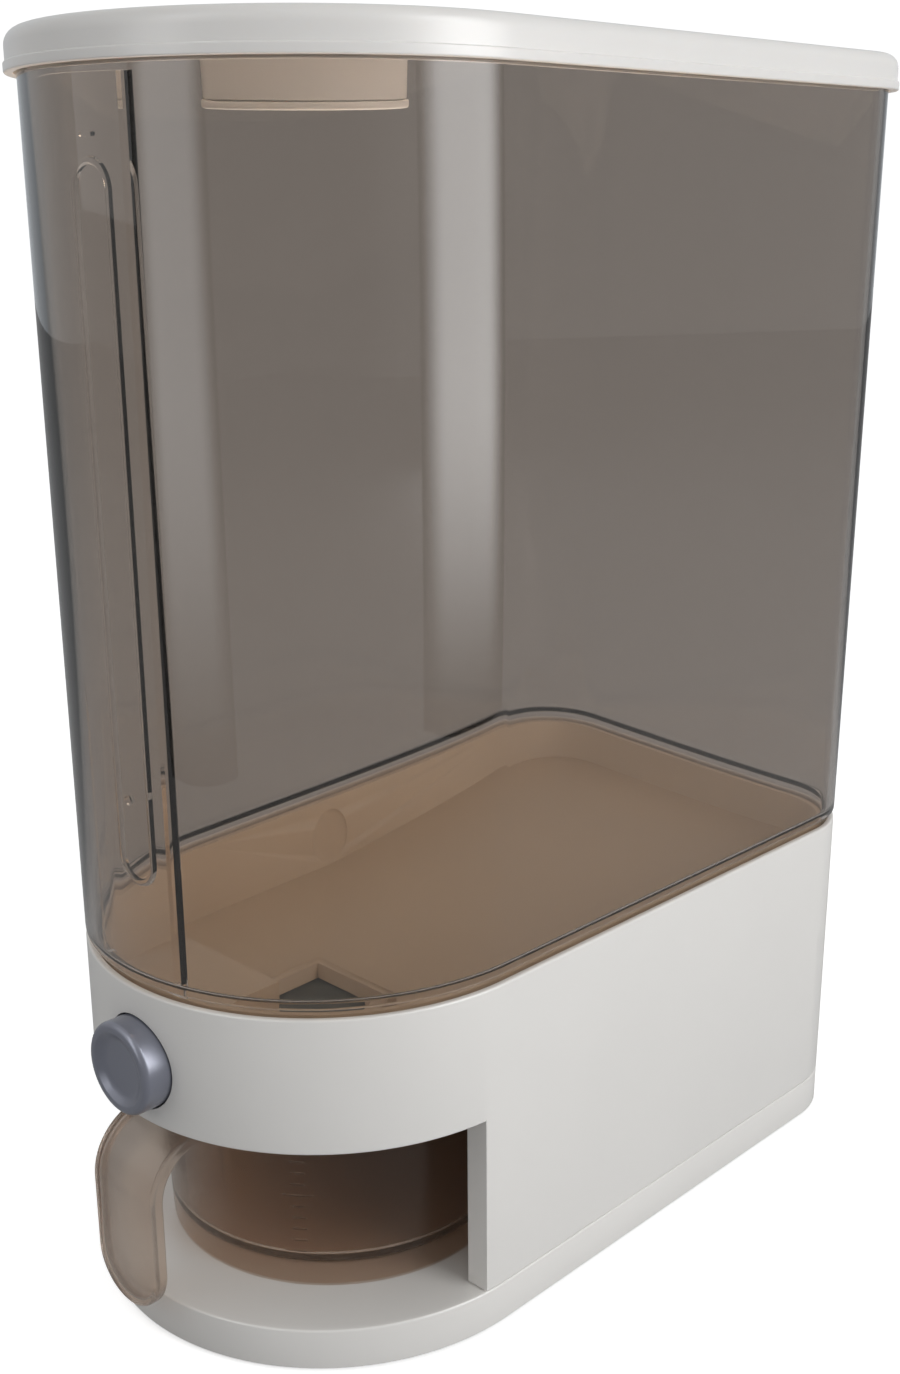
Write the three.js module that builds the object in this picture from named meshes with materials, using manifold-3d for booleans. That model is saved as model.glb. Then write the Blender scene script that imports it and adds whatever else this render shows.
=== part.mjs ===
import * as THREE from 'three';
import { mergeVertices } from 'three/addons/utils/BufferGeometryUtils.js';
import Module from 'manifold-3d';

const wasm = await Module();
wasm.setup();

// Cereal dispenser. Millimetres, +Z up, front towards -Y, width along X.
// Plan outline of every shell: a half circle at the front, straight sides, rounded back corners.
// Plan coordinates are measured from the centre of the front half circle.

// ---- overall sizes ----
const bodyWidth = 175;
const bodyBack = 223.5;
const backCorner = 34;
const baseHeight = 131;
const overallHeight = 430;
const lidDepth = 13;
const baseBackDraft = 3;
const tankSideDraft = 1.2;
const tankBackDraft = 7.5;

// ---- clearances and walls ----
const gap = 0.3;
const slideGap = 0.4;
const baseWall = 2.6;
const tankWall = 2.5;
const neckWall = 2.4;
const funnelWall = 2.2;

// ---- bottom plate and feet ----
const plateTop = 16.2;
const plateBottom = 1.2;
const plateSkin = 2.6;
const ribThickness = 2;
const ribPitch = 50;
const footRadius = 7;
const footRecess = 1.2;
const screwShank = 1.5;
const screwHead = 3.2;
const screwHeadHeight = 2;
const plateScrewLength = 14;
const postRadius = 3.4;
const postHeight = 24;

// ---- niche for the cup ----
const skirtUnderSleeve = 3;
const nicheFront = -10;
const nicheHalfWidth = 78;
const nicheWall = 2.4;
const ceilingSkin = 2.2;
const webThickness = 2.5;

// ---- push button ----
const buttonRadius = 16.3;
const buttonProud = 8.3;
const buttonLength = 15.5;
const buttonTravel = 10;
const buttonSkin = 2.2;
const buttonDish = 2.6;
const sleeveWall = 1.4;
const sleeveLength = 17;
const sleeveHeadroom = 0.9;
const stemRadius = 4.5;
const springWire = 0.7;
const springTurns = 5.5;

// ---- hopper funnel, outlet and gate ----
const funnelRimDrop = 0.4;
const neckDepth = 6;
const sealThickness = 1.5;
const flangeThickness = 2.4;
const chuteHeight = 14.3;
const floorSkin = 2.6;
const floorRiseBack = 19;
const floorRiseFront = 11;
const floorRiseSide = 7.5;
const floorFlatHalfWidth = 24;
const outletHalfWidth = 18;
const outletFront = -24;
const outletBack = 8;
const outletFrameWidth = 3.4;
const outletFrameRise = 3.4;
const tunnelSideRoom = 4.5;
const tunnelRoofRoom = 2.5;
const tunnelBack = -46;
const pocketY = 70;
const pocketRise = 17;
const gateThickness = 2.5;
const gateHalfWidth = 21.9;
const gateBack = 22;
const lugThickness = 3.5;
const guideSkin = 2.2;
const guideRail = 3.7;
const guideBack = 26;
const guideScrewX = 31;
const guideScrewY = 18;
const guideScrewLength = 6.5;

// ---- tank ----
const seatRise = 3;
const tankTopDrop = 6;
const shoulderRound = 1.5;
const channelHalfWidth = 19.8;
const channelDepth = 7.1;
const channelWall = 1.7;
const channelTopDrop = 16;
const channelFootRise = 0.2;
const beadWidth = 18.8;
const beadLine = 2;
const beadHeight = 0.9;
const beadBottomRise = 31.7;
const beadTopDrop = 38.6;

// ---- lid and desiccant box ----
const lidLip = 3.85;
const lidOverhang = 3.2;
const lipHeight = 3;
const lidWall = 2.4;
const lidSkin = 2.8;
const lidRound = 5.2;
const plugDrop = 1;
const plugWall = 2.2;
const desiccantRadius = 33;
const desiccantTaper = 0.8;
const desiccantHeight = 25.5;
const desiccantWall = 1.8;
const capThickness = 2.4;
const sachetRadius = 24;
const sachetHeight = 12;

// ---- measuring cup ----
const cupY = 1;
const cupBaseRadius = 63.5;
const cupTopRadius = 66.5;
const cupHeadroom = 2.7;
const cupWall = 2;
const cupFloorLift = 12;
const handleWidth = 33.5;
const handleProud = 9.8;
const handleBend = 22;
const handleThickness = 5.2;
const handleSkin = 2.2;
const handleBottom = 15.2;

// ---- colours ----
const white = { color: '#e9e8e4', roughness: 0.38, metalness: 0 };
const cream = { color: '#d9bf97', roughness: 0.5, metalness: 0 };
const smoke = { color: '#5d554f', roughness: 0.12, metalness: 0 };
const greyBlue = { color: '#7d8797', roughness: 0.3, metalness: 0.35 };
const slate = { color: '#4a5250', roughness: 0.5, metalness: 0 };
const rubber = { color: '#3a3a3c', roughness: 0.8, metalness: 0 };
const silicone = { color: '#d8d5cf', roughness: 0.6, metalness: 0 };
const steel = { color: '#b4b6b8', roughness: 0.3, metalness: 0.9 };
const paper = { color: '#f1efe8', roughness: 0.85, metalness: 0 };

// ---- helpers ----
const halfWidth = bodyWidth / 2;
const lidLipHeight = overallHeight - lidDepth;
const tankSeat = baseHeight + seatRise;
const tankTop = overallHeight - tankTopDrop;
const channelTop = overallHeight - channelTopDrop;
const channelBottom = baseHeight + channelFootRise;
const beadBottom = tankSeat + beadBottomRise;
const beadTop = overallHeight - beadTopDrop;
const big = 900;

function solid(geometry) {
  const bare = new THREE.BufferGeometry();
  bare.setAttribute('position', geometry.getAttribute('position').clone());
  if (geometry.index) {
    bare.setIndex(geometry.index.clone());
  }
  const merged = mergeVertices(bare, 1e-4);
  return new wasm.Manifold(new wasm.Mesh({
    numProp: 3,
    vertProperties: new Float32Array(merged.getAttribute('position').array),
    triVerts: new Uint32Array(merged.index.array),
  }));
}

function geometryOf(manifold) {
  const mesh = manifold.getMesh();
  const geometry = new THREE.BufferGeometry();
  geometry.setAttribute('position', new THREE.BufferAttribute(new Float32Array(mesh.vertProperties), 3));
  geometry.setIndex(new THREE.BufferAttribute(new Uint32Array(mesh.triVerts), 1));
  const flat = geometry.toNonIndexed();
  flat.computeVertexNormals();
  return flat;
}

function joined(solids) {
  return solids.reduce((sum, next) => sum.add(next));
}

function without(body, cutters) {
  return cutters.reduce((rest, next) => rest.subtract(next), body);
}

function part(name, geometry, look, x = 0, y = 0, z = 0) {
  const mesh = new THREE.Mesh(geometry, new THREE.MeshStandardMaterial(look));
  mesh.name = name;
  mesh.position.set(x, y, z);
  return mesh;
}

function box(x0, x1, y0, y1, z0, z1) {
  const geometry = new THREE.BoxGeometry(x1 - x0, y1 - y0, z1 - z0);
  geometry.translate((x0 + x1) / 2, (y0 + y1) / 2, (z0 + z1) / 2);
  return solid(geometry);
}

function upright(x, y, radius, z0, z1, segments = 20) {
  const geometry = new THREE.CylinderGeometry(radius, radius, z1 - z0, segments);
  geometry.rotateX(Math.PI / 2);
  geometry.translate(x, y, (z0 + z1) / 2);
  return solid(geometry);
}

function level(x, z, radius, y0, y1, segments = 32) {
  const geometry = new THREE.CylinderGeometry(radius, radius, y1 - y0, segments);
  geometry.translate(x, (y0 + y1) / 2, z);
  return solid(geometry);
}

function prism(shape, z0, z1, curveSegments = 6, options = {}) {
  const geometry = new THREE.ExtrudeGeometry(shape, {
    depth: z1 - z0, bevelEnabled: false, curveSegments, ...options,
  });
  geometry.translate(0, 0, z0);
  return solid(geometry);
}

// Segments in each plan arc: the front half circle is made of several arcs.
const planSegments = 4;
const frontArcs = 4;

// Plan outline set in from the reference outline by `inset` (negative goes outwards).
function planShape(half, back, corner, inset = 0) {
  const w = half - inset;
  const b = back - inset;
  const r = Math.max(corner - inset, 1);
  const shape = new THREE.Shape();
  for (let i = 0; i < frontArcs; i += 1) {
    const start = Math.PI * (1 + i / frontArcs);
    shape.absarc(0, 0, w, start, start + Math.PI / frontArcs, false);
  }
  shape.lineTo(w, b - r);
  shape.absarc(w - r, b - r, r, 0, Math.PI / 2, false);
  shape.lineTo(-(w - r), b);
  shape.absarc(-(w - r), b - r, r, Math.PI / 2, Math.PI, false);
  shape.lineTo(-w, 0);
  return shape;
}

function bodyPrism(inset, z0, z1, options = {}) {
  return prism(planShape(halfWidth, bodyBack, backCorner, inset), z0, z1, planSegments, options);
}

function bodyRing(outerInset, innerInset, z0, z1) {
  return bodyPrism(outerInset, z0, z1).subtract(bodyPrism(innerInset, z0 - 1, z1 + 1));
}

const topHalf = halfWidth + tankSideDraft;
const topBack = bodyBack + tankBackDraft;

function topPrism(inset, z0, z1, options = {}) {
  return prism(planShape(topHalf, topBack, backCorner + tankSideDraft, inset), z0, z1, planSegments, options);
}

function topRing(outerInset, innerInset, z0, z1) {
  return topPrism(outerInset, z0, z1).subtract(topPrism(innerInset, z0 - 1, z1 + 1));
}

// Scales the plan with height: sides by the side draft, the back by the back draft.
function drafted(geometry, sideAt, backAt) {
  const position = geometry.getAttribute('position');
  for (let i = 0; i < position.count; i += 1) {
    const z = position.getZ(i);
    const y = position.getY(i);
    const side = sideAt(z);
    position.setX(i, position.getX(i) * side);
    position.setY(i, y * (y > 0 ? backAt(z) : side));
  }
  geometry.computeVertexNormals();
  return geometry;
}

function baseDraft(geometry) {
  const backAt = (z) => 1 - (baseBackDraft / bodyBack) * (1 - z / baseHeight);
  return drafted(geometry, () => 1, backAt);
}

function baseBlock(inset, z0, z1, options = {}) {
  return solid(baseDraft(geometryOf(bodyPrism(inset, z0, z1, options))));
}

function tankDraft(geometry) {
  const rise = (z) => Math.max(0, z - tankSeat) / (lidLipHeight - tankSeat);
  const sideAt = (z) => 1 + (tankSideDraft / halfWidth) * rise(z);
  const backAt = (z) => 1 + (tankBackDraft / bodyBack) * rise(z);
  return drafted(geometry, sideAt, backAt);
}

// ---- derived levels and positions ----
const shellBottom = plateTop + gap;
const neckInset = baseWall + slideGap;
const upstandInset = neckInset + neckWall + slideGap;
const basinInset = upstandInset + funnelWall;
const neckBottom = baseHeight - neckDepth;
const sealTop = neckBottom - gap;
const sealBottom = sealTop - sealThickness;
const flangeTop = sealBottom - gap;
const flangeBottom = flangeTop - flangeThickness;
const ledgeTop = flangeBottom - gap;
const ledgeThickness = 2.4;
const funnelRim = baseHeight - funnelRimDrop;
const sleeveBore = buttonRadius + slideGap + 0.2;
const sleeveRadius = sleeveBore + sleeveWall;
const buttonHeight = sealBottom - sleeveHeadroom - sleeveRadius;
const tunnelHalfWidth = sleeveRadius + tunnelSideRoom + funnelWall;
const tunnelTop = buttonHeight + sleeveRadius + tunnelRoofRoom + funnelWall;
const skirtBottom = buttonHeight - sleeveRadius - skirtUnderSleeve;
const skirtFront = -halfWidth;
const buttonFace = skirtFront - buttonProud;
const sleeveBack = skirtFront + baseWall + sleeveLength;
const ceilingTop = skirtBottom + ceilingSkin;
const cupTop = skirtBottom - cupHeadroom;
const handleFace = skirtFront - handleProud;
const floorLevel = skirtBottom + chuteHeight;
const pocketZ = floorLevel + pocketRise;
const floorUnder = floorLevel - floorSkin;
const gateTop = floorUnder - slideGap;
const gateBottom = gateTop - gateThickness;
const guideTop = gateBottom - gap;
const guideBottom = guideTop - guideSkin;
const lugBack = sleeveBack + 2 + lugThickness;
const lugFront = lugBack - lugThickness;
const stemFront = buttonFace + buttonDish + buttonSkin;
const postBite = 1.4;
const nichePostBite = 1.15;
const postX = nicheHalfWidth + nicheWall + postRadius - nichePostBite;
const sidePostX = halfWidth - baseWall - postRadius + postBite;
const backPostY = bodyBack - baseBackDraft - baseWall - postRadius + postBite;
const screwPlaces = [
  [-postX, 4], [postX, 4], [-sidePostX, 110], [sidePostX, 110], [-45, backPostY], [45, backPostY],
];
const footPlaces = [[-52, -53], [52, -53], [-66, 188], [66, 188]];
const guideScrews = [
  [-guideScrewX, -guideScrewY], [guideScrewX, -guideScrewY],
  [-guideScrewX, guideScrewY], [guideScrewX, guideScrewY],
];

// ---- base ----
function nicheShape(half, front) {
  const shape = new THREE.Shape();
  shape.moveTo(-half, front);
  shape.lineTo(half, front);
  shape.lineTo(half, 0);
  shape.absarc(0, 0, half, 0, Math.PI, false);
  shape.lineTo(-half, front);
  return shape;
}

function nicheWalls() {
  const outer = prism(nicheShape(nicheHalfWidth + nicheWall, nicheFront), shellBottom, ceilingTop, 8);
  const inner = prism(nicheShape(nicheHalfWidth, nicheFront - 5), shellBottom - 1, ceilingTop + 1, 8);
  return outer.subtract(inner);
}

function nicheCeiling() {
  const plate = bodyPrism(baseWall / 2, skirtBottom, ceilingTop);
  const front = box(-big, big, -big, 0, 0, big);
  const back = prism(nicheShape(nicheHalfWidth + nicheWall, -1), 0, big, 8);
  return plate.intersect(front.add(back));
}

function endWebs() {
  const inner = nicheHalfWidth + 0.2;
  const outer = halfWidth - 1;
  return [
    box(inner, outer, nicheFront, nicheFront + webThickness, shellBottom, ceilingTop),
    box(-outer, -inner, nicheFront, nicheFront + webThickness, shellBottom, ceilingTop),
  ];
}

function buttonSleeve() {
  const outer = level(0, buttonHeight, sleeveRadius, skirtFront + 1, sleeveBack, 40);
  const plan = bodyPrism(baseWall / 2, 0, overallHeight);
  return outer.intersect(plan);
}

function funnelLedge() {
  const ring = bodyRing(baseWall / 2, upstandInset - gap, ledgeTop - ledgeThickness, ledgeTop);
  const cut = sleeveRadius + 2;
  return ring.subtract(box(-cut, cut, -big, 0, 0, big));
}

function baseShell() {
  const wall = baseBlock(0, shellBottom, baseHeight).subtract(baseBlock(baseWall, 0, baseHeight + 1));
  const posts = screwPlaces.map(([x, y]) => upright(x, y, postRadius, shellBottom, shellBottom + postHeight, 16));
  const chuteHalf = outletHalfWidth + guideSkin + slideGap;
  const cutters = [
    box(-big, big, -big, nicheFront, 0, skirtBottom),
    level(0, buttonHeight, sleeveBore, -big, sleeveBack - 2, 40),
    level(0, buttonHeight, stemRadius + slideGap, -big, sleeveBack + 1, 20),
    box(-chuteHalf, chuteHalf, outletFront - guideSkin - slideGap, outletBack + guideSkin + slideGap, 0, ceilingTop + 1),
    ...screwPlaces.map(([x, y]) => upright(x, y, screwShank + 0.1, 0, shellBottom + plateScrewLength, 12)),
  ];
  const body = joined([wall, nicheWalls(), nicheCeiling(), ...endWebs(), funnelLedge(), buttonSleeve(), ...posts]);
  return geometryOf(without(body, cutters));
}

function plateRibs() {
  const ribs = [];
  for (let y = -ribPitch; y < bodyBack - ribPitch / 2; y += ribPitch) {
    ribs.push(box(-big, big, y - ribThickness / 2, y + ribThickness / 2, plateBottom + 2, plateTop));
  }
  return joined(ribs).intersect(baseBlock(baseWall / 2, 0, plateTop - plateSkin / 2));
}

function basePlate() {
  const edge = 0.6;
  const block = baseBlock(0, -plateTop, plateTop - edge, {
    bevelEnabled: true, bevelThickness: edge, bevelSize: edge, bevelOffset: -edge, bevelSegments: 1,
  }).intersect(box(-big, big, -big, big, plateBottom, plateTop));
  const tray = block.subtract(baseBlock(baseWall, 0, plateTop - plateSkin));
  const pads = footPlaces.map(([x, y]) => upright(x, y, footRadius + 2, plateBottom, plateTop - 1, 24));
  const cutters = [
    ...footPlaces.map(([x, y]) => upright(x, y, footRadius + gap, 0, plateBottom + footRecess, 24)),
    ...screwPlaces.map(([x, y]) => upright(x, y, screwShank + gap, 0, plateTop + 1, 12)),
    ...screwPlaces.map(([x, y]) => upright(x, y, screwHead + 0.6, 0, plateTop - plateSkin, 16)),
  ];
  return geometryOf(without(joined([tray, plateRibs(), ...pads]), cutters));
}

function foot() {
  const top = plateBottom + footRecess - gap;
  const geometry = new THREE.LatheGeometry([
    new THREE.Vector2(0, 0),
    new THREE.Vector2(footRadius - 0.8, 0),
    new THREE.Vector2(footRadius, 0.8),
    new THREE.Vector2(footRadius, top),
    new THREE.Vector2(0, top),
  ], 24);
  geometry.rotateX(Math.PI / 2);
  return geometry;
}

// Cross-head screw, head below z = 0 and shank going up.
function screw(shankLength) {
  const profile = new THREE.LatheGeometry([
    new THREE.Vector2(0, -screwHeadHeight),
    new THREE.Vector2(screwHead * 0.72, -screwHeadHeight),
    new THREE.Vector2(screwHead, -screwHeadHeight * 0.45),
    new THREE.Vector2(screwHead, 0),
    new THREE.Vector2(screwShank - 0.2, 0),
    new THREE.Vector2(screwShank - 0.2, shankLength - 1),
    new THREE.Vector2(0.4, shankLength),
    new THREE.Vector2(0, shankLength),
  ], 10);
  profile.rotateX(Math.PI / 2);
  const arm = screwHead * 0.55;
  const slot = 0.45;
  const deep = screwHeadHeight * 0.5;
  return geometryOf(without(solid(profile), [
    box(-arm, arm, -slot, slot, -screwHeadHeight - 1, -screwHeadHeight + deep),
    box(-slot, slot, -arm, arm, -screwHeadHeight - 1, -screwHeadHeight + deep),
  ]));
}

// ---- hopper ----
// Volume above the funnel floor, lowered by `drop`.
function aboveFloor(drop) {
  const low = floorLevel - drop;
  const along = new THREE.Shape();
  along.moveTo(-90, low + floorRiseFront);
  along.lineTo(outletFront - outletFrameWidth, low);
  along.lineTo(outletBack + outletFrameWidth, low);
  along.lineTo(bodyBack + 5, low + floorRiseBack);
  along.lineTo(bodyBack + 5, overallHeight);
  along.lineTo(-90, overallHeight);
  along.closePath();
  const side = new THREE.ExtrudeGeometry(along, { depth: 2 * bodyWidth, bevelEnabled: false });
  side.rotateX(Math.PI / 2);
  side.rotateZ(Math.PI / 2);
  side.translate(-bodyWidth, 0, 0);
  const across = new THREE.Shape();
  across.moveTo(-bodyWidth, low + floorRiseSide * 2);
  across.lineTo(-floorFlatHalfWidth, low - 0.5);
  across.lineTo(floorFlatHalfWidth, low - 0.5);
  across.lineTo(bodyWidth, low + floorRiseSide * 2);
  across.lineTo(bodyWidth, overallHeight);
  across.lineTo(-bodyWidth, overallHeight);
  across.closePath();
  const front = new THREE.ExtrudeGeometry(across, { depth: big, bevelEnabled: false });
  front.rotateX(Math.PI / 2);
  front.translate(0, big / 2, 0);
  return solid(side).intersect(solid(front));
}

function outletBox(margin, z0, z1) {
  return box(-outletHalfWidth - margin, outletHalfWidth + margin, outletFront - margin, outletBack + margin, z0, z1);
}

function pocketCutter(side) {
  const geometry = new THREE.SphereGeometry(1, 20, 14);
  geometry.scale(1.5, 10, 12);
  geometry.translate(side * (halfWidth - basinInset), pocketY, pocketZ);
  return solid(geometry);
}

function hopperFunnel() {
  const outer = bodyPrism(upstandInset, 0, funnelRim).intersect(aboveFloor(floorSkin));
  const flange = bodyRing(neckInset, basinInset - 0.5, flangeBottom, flangeTop);
  const tunnelOuter = box(-tunnelHalfWidth, tunnelHalfWidth, -big, tunnelBack, 0, tunnelTop);
  const tunnelInner = box(
    -tunnelHalfWidth + funnelWall, tunnelHalfWidth - funnelWall,
    -big, tunnelBack - funnelWall, 0, tunnelTop - funnelWall,
  );
  const basin = bodyPrism(basinInset, 0, overallHeight).intersect(aboveFloor(0)).subtract(tunnelOuter);
  const bosses = guideScrews.map(([x, y]) => upright(x, y, postRadius, guideTop + 1, floorLevel, 14));
  const frame = outletBox(outletFrameWidth, floorUnder + 1, floorLevel + outletFrameRise);
  const cutters = [
    outletBox(0, 0, overallHeight),
    pocketCutter(-1),
    pocketCutter(1),
    ...guideScrews.map(([x, y]) => upright(x, y, screwShank - 0.1, 0, floorLevel - 0.8, 12)),
  ];
  const shell = without(joined([outer, flange]), [basin, tunnelInner]);
  return geometryOf(without(joined([shell, frame, ...bosses]), cutters));
}

// Rails and chute under the outlet; the gate slides between them and the funnel.
function gateGuide() {
  const half = gateHalfWidth + slideGap + guideRail;
  const front = outletFront - guideSkin;
  const slab = box(-half, half, front, guideBack, guideBottom, floorUnder - gap);
  const track = box(-gateHalfWidth - slideGap, gateHalfWidth + slideGap, -big, big, guideTop, overallHeight);
  const collar = outletBox(guideSkin, skirtBottom - 1.2, guideTop);
  const ears = guideScrews.map(([x, y]) => upright(x, y, postRadius + 0.8, guideBottom, guideTop + 0.7, 18));
  const webs = guideScrews.map(([x, y]) => box(
    Math.min(x, 0.8 * x), Math.max(x, 0.8 * x), y - 2.5, y + 2.5, guideBottom, guideTop,
  ));
  const cutters = [
    track,
    outletBox(0, 0, overallHeight),
    ...guideScrews.map(([x, y]) => upright(x, y, screwShank + gap, 0, overallHeight, 12)),
  ];
  return geometryOf(without(joined([slab, collar, ...webs, ...ears]), cutters));
}

// ---- push slider ----
function gateSlider() {
  const front = tunnelBack;
  const windowFront = outletFront - buttonTravel - 0.6;
  const plate = box(-gateHalfWidth, gateHalfWidth, front, gateBack, gateBottom, gateTop);
  const arm = box(-7, 7, lugFront, front + 1, gateBottom, gateTop);
  const lug = box(-9, 9, lugFront, lugBack, gateBottom, buttonHeight + 9);
  const ribBack = tunnelBack - funnelWall - slideGap - buttonTravel;
  const rib = box(-1.2, 1.2, lugBack - 1, ribBack, gateBottom, gateTop + 5);
  const window = box(-outletHalfWidth, outletHalfWidth, windowFront, outletFront - 0.6, 0, overallHeight);
  const hole = level(0, buttonHeight, screwShank + gap, lugFront - 1, lugBack + 1, 12);
  return geometryOf(without(joined([plate, arm, lug, rib]), [window, hole]));
}

// Hollow cap with a dished face; local origin on the axis at the rim of the face, facing -Y.
function buttonCap() {
  const round = 2.4;
  const points = [new THREE.Vector2(0, buttonDish)];
  const rimInner = buttonRadius - 3.4;
  for (let i = 1; i <= 6; i += 1) {
    const t = i / 6;
    points.push(new THREE.Vector2(rimInner * t, buttonDish * (1 - t * t)));
  }
  for (let i = 0; i <= 5; i += 1) {
    const a = (Math.PI / 2) * (i / 5);
    points.push(new THREE.Vector2(buttonRadius - round + round * Math.sin(a), round - round * Math.cos(a)));
  }
  const inner = buttonRadius - buttonSkin;
  const floor = buttonDish + buttonSkin;
  points.push(new THREE.Vector2(buttonRadius, buttonLength));
  points.push(new THREE.Vector2(inner, buttonLength));
  points.push(new THREE.Vector2(inner, floor));
  points.push(new THREE.Vector2(stemRadius + 2, floor));
  points.push(new THREE.Vector2(stemRadius + 2, floor + 7));
  points.push(new THREE.Vector2(stemRadius + gap, floor + 7));
  points.push(new THREE.Vector2(stemRadius + gap, floor));
  points.push(new THREE.Vector2(0, floor));
  return new THREE.LatheGeometry(points, 32);
}

function buttonStem() {
  const length = lugFront - gap - (stemFront + gap);
  const body = new THREE.LatheGeometry([
    new THREE.Vector2(0, 0),
    new THREE.Vector2(stemRadius - 0.5, 0),
    new THREE.Vector2(stemRadius, 0.5),
    new THREE.Vector2(stemRadius, length),
    new THREE.Vector2(screwShank, length),
    new THREE.Vector2(screwShank, length - 14),
    new THREE.Vector2(0, length - 14),
  ], 24);
  return body;
}

class Helix extends THREE.Curve {
  constructor(radius, length, turns) {
    super();
    this.radius = radius;
    this.length = length;
    this.turns = turns;
  }

  getPoint(t, target = new THREE.Vector3()) {
    const angle = 2 * Math.PI * this.turns * t;
    return target.set(this.radius * Math.cos(angle), this.length * t, this.radius * Math.sin(angle));
  }
}

const springRadius = stemRadius + 2 + gap + 2 * springWire;
const springFront = stemFront + springWire + gap;
const springBack = sleeveBack - 2 - springWire - gap;

function returnSpring() {
  const wire = new THREE.Shape();
  wire.absarc(0, 0, springWire, 0, 2 * Math.PI, false);
  return new THREE.ExtrudeGeometry(wire, {
    steps: Math.round(springTurns * 12),
    curveSegments: 3,
    bevelEnabled: false,
    extrudePath: new Helix(springRadius, springBack - springFront, springTurns),
  });
}

// ---- tank ----
function tank() {
  const outer = bodyPrism(0, tankSeat + shoulderRound, tankTop - shoulderRound, {
    bevelEnabled: true, bevelThickness: shoulderRound, bevelSize: shoulderRound,
    bevelOffset: -shoulderRound, bevelSegments: 2,
  });
  const neck = bodyPrism(neckInset, neckBottom, tankSeat + 2);
  const seatInner = bodyPrism(neckInset + neckWall, 0, overallHeight);
  const hollow = bodyPrism(tankWall, tankSeat + neckWall, overallHeight);
  return tankDraft(geometryOf(without(outer.add(neck), [seatInner, hollow])));
}

function stadium(width, z0, z1) {
  const r = width / 2;
  const shape = new THREE.Shape();
  shape.absarc(0, z1 - r, r, 0, Math.PI, false);
  shape.absarc(0, z0 + r, r, Math.PI, 2 * Math.PI, false);
  shape.closePath();
  return shape;
}

// Extrudes a front-view (X, Z) shape along Y from y0 to y1.
function facing(shape, y0, y1, curveSegments = 6) {
  const geometry = new THREE.ExtrudeGeometry(shape, { depth: y1 - y0, bevelEnabled: false, curveSegments });
  geometry.rotateX(Math.PI / 2);
  geometry.translate(0, y1, 0);
  return solid(geometry);
}

function tankChannel() {
  const panelFront = -(halfWidth - channelDepth);
  const panelBack = panelFront + channelWall;
  const block = box(-channelHalfWidth, channelHalfWidth, -big, panelBack, channelBottom, channelTop);
  const insideTank = bodyPrism(tankWall + gap, tankSeat + neckWall + gap, channelTop);
  const insideNeck = bodyPrism(neckInset + neckWall + gap, channelBottom, channelTop);
  const inner = channelHalfWidth - channelWall;
  const duct = box(-inner, inner, -big, panelFront, 0, overallHeight);
  const bead = facing(stadium(beadWidth, beadBottom, beadTop), panelFront - beadHeight, panelFront + 0.5)
    .subtract(facing(stadium(beadWidth - 2 * beadLine, beadBottom + beadLine, beadTop - beadLine), -big / 2, 0));
  const bar = box(-3, 3, panelFront - beadHeight, panelFront + 0.5, beadTop + 5.4, beadTop + 6.6);
  const pin = level(-2, beadBottom + 29, 1.6, panelFront - beadHeight, panelFront + 0.5, 14);
  const strip = block.intersect(insideTank.add(insideNeck)).subtract(duct);
  return tankDraft(geometryOf(joined([strip, bead, bar, pin])));
}

function neckSeal() {
  return geometryOf(bodyRing(neckInset + 0.1, neckInset + neckWall, 0, sealThickness));
}

// ---- lid ----
function lid() {
  const dome = topPrism(-lidOverhang, lidLipHeight - lidRound, overallHeight - lidRound, {
    bevelEnabled: true, bevelThickness: lidRound, bevelSize: lidRound, bevelOffset: -lidRound, bevelSegments: 3,
  }).intersect(box(-big, big, -big, big, lidLipHeight, overallHeight));
  const lip = topPrism(-lidLip, lidLipHeight, lidLipHeight + lipHeight);
  const underside = overallHeight - lidSkin;
  const rimGap = lidOverhang - lidWall;
  const hollow = topPrism(-rimGap, 0, underside);
  const plugOuter = tankWall + 0.6;
  const plug = topRing(plugOuter, plugOuter + plugWall, lidLipHeight - plugDrop, underside + 1);
  const socket = upright(0, 0, desiccantRadius + gap + 2, underside - 6, underside + 1, 40)
    .subtract(upright(0, 0, desiccantRadius + gap, 0, underside, 40));
  return geometryOf(joined([without(dome.add(lip), [hollow]), plug, socket]));
}

function lidGasket() {
  const thickness = overallHeight - lidSkin - gap - (tankTop + gap);
  return geometryOf(topRing(0, tankWall, 0, thickness));
}

// Cup-shaped box hanging open side down; local origin on the axis at its open edge.
function desiccantBox() {
  const height = desiccantHeight - capThickness - gap;
  const low = desiccantRadius - desiccantTaper;
  return new THREE.LatheGeometry([
    new THREE.Vector2(0, height - desiccantWall),
    new THREE.Vector2(desiccantRadius - desiccantWall, height - desiccantWall),
    new THREE.Vector2(low - desiccantWall, 0),
    new THREE.Vector2(low, 0),
    new THREE.Vector2(desiccantRadius, height),
    new THREE.Vector2(0, height),
  ], 40);
}

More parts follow.
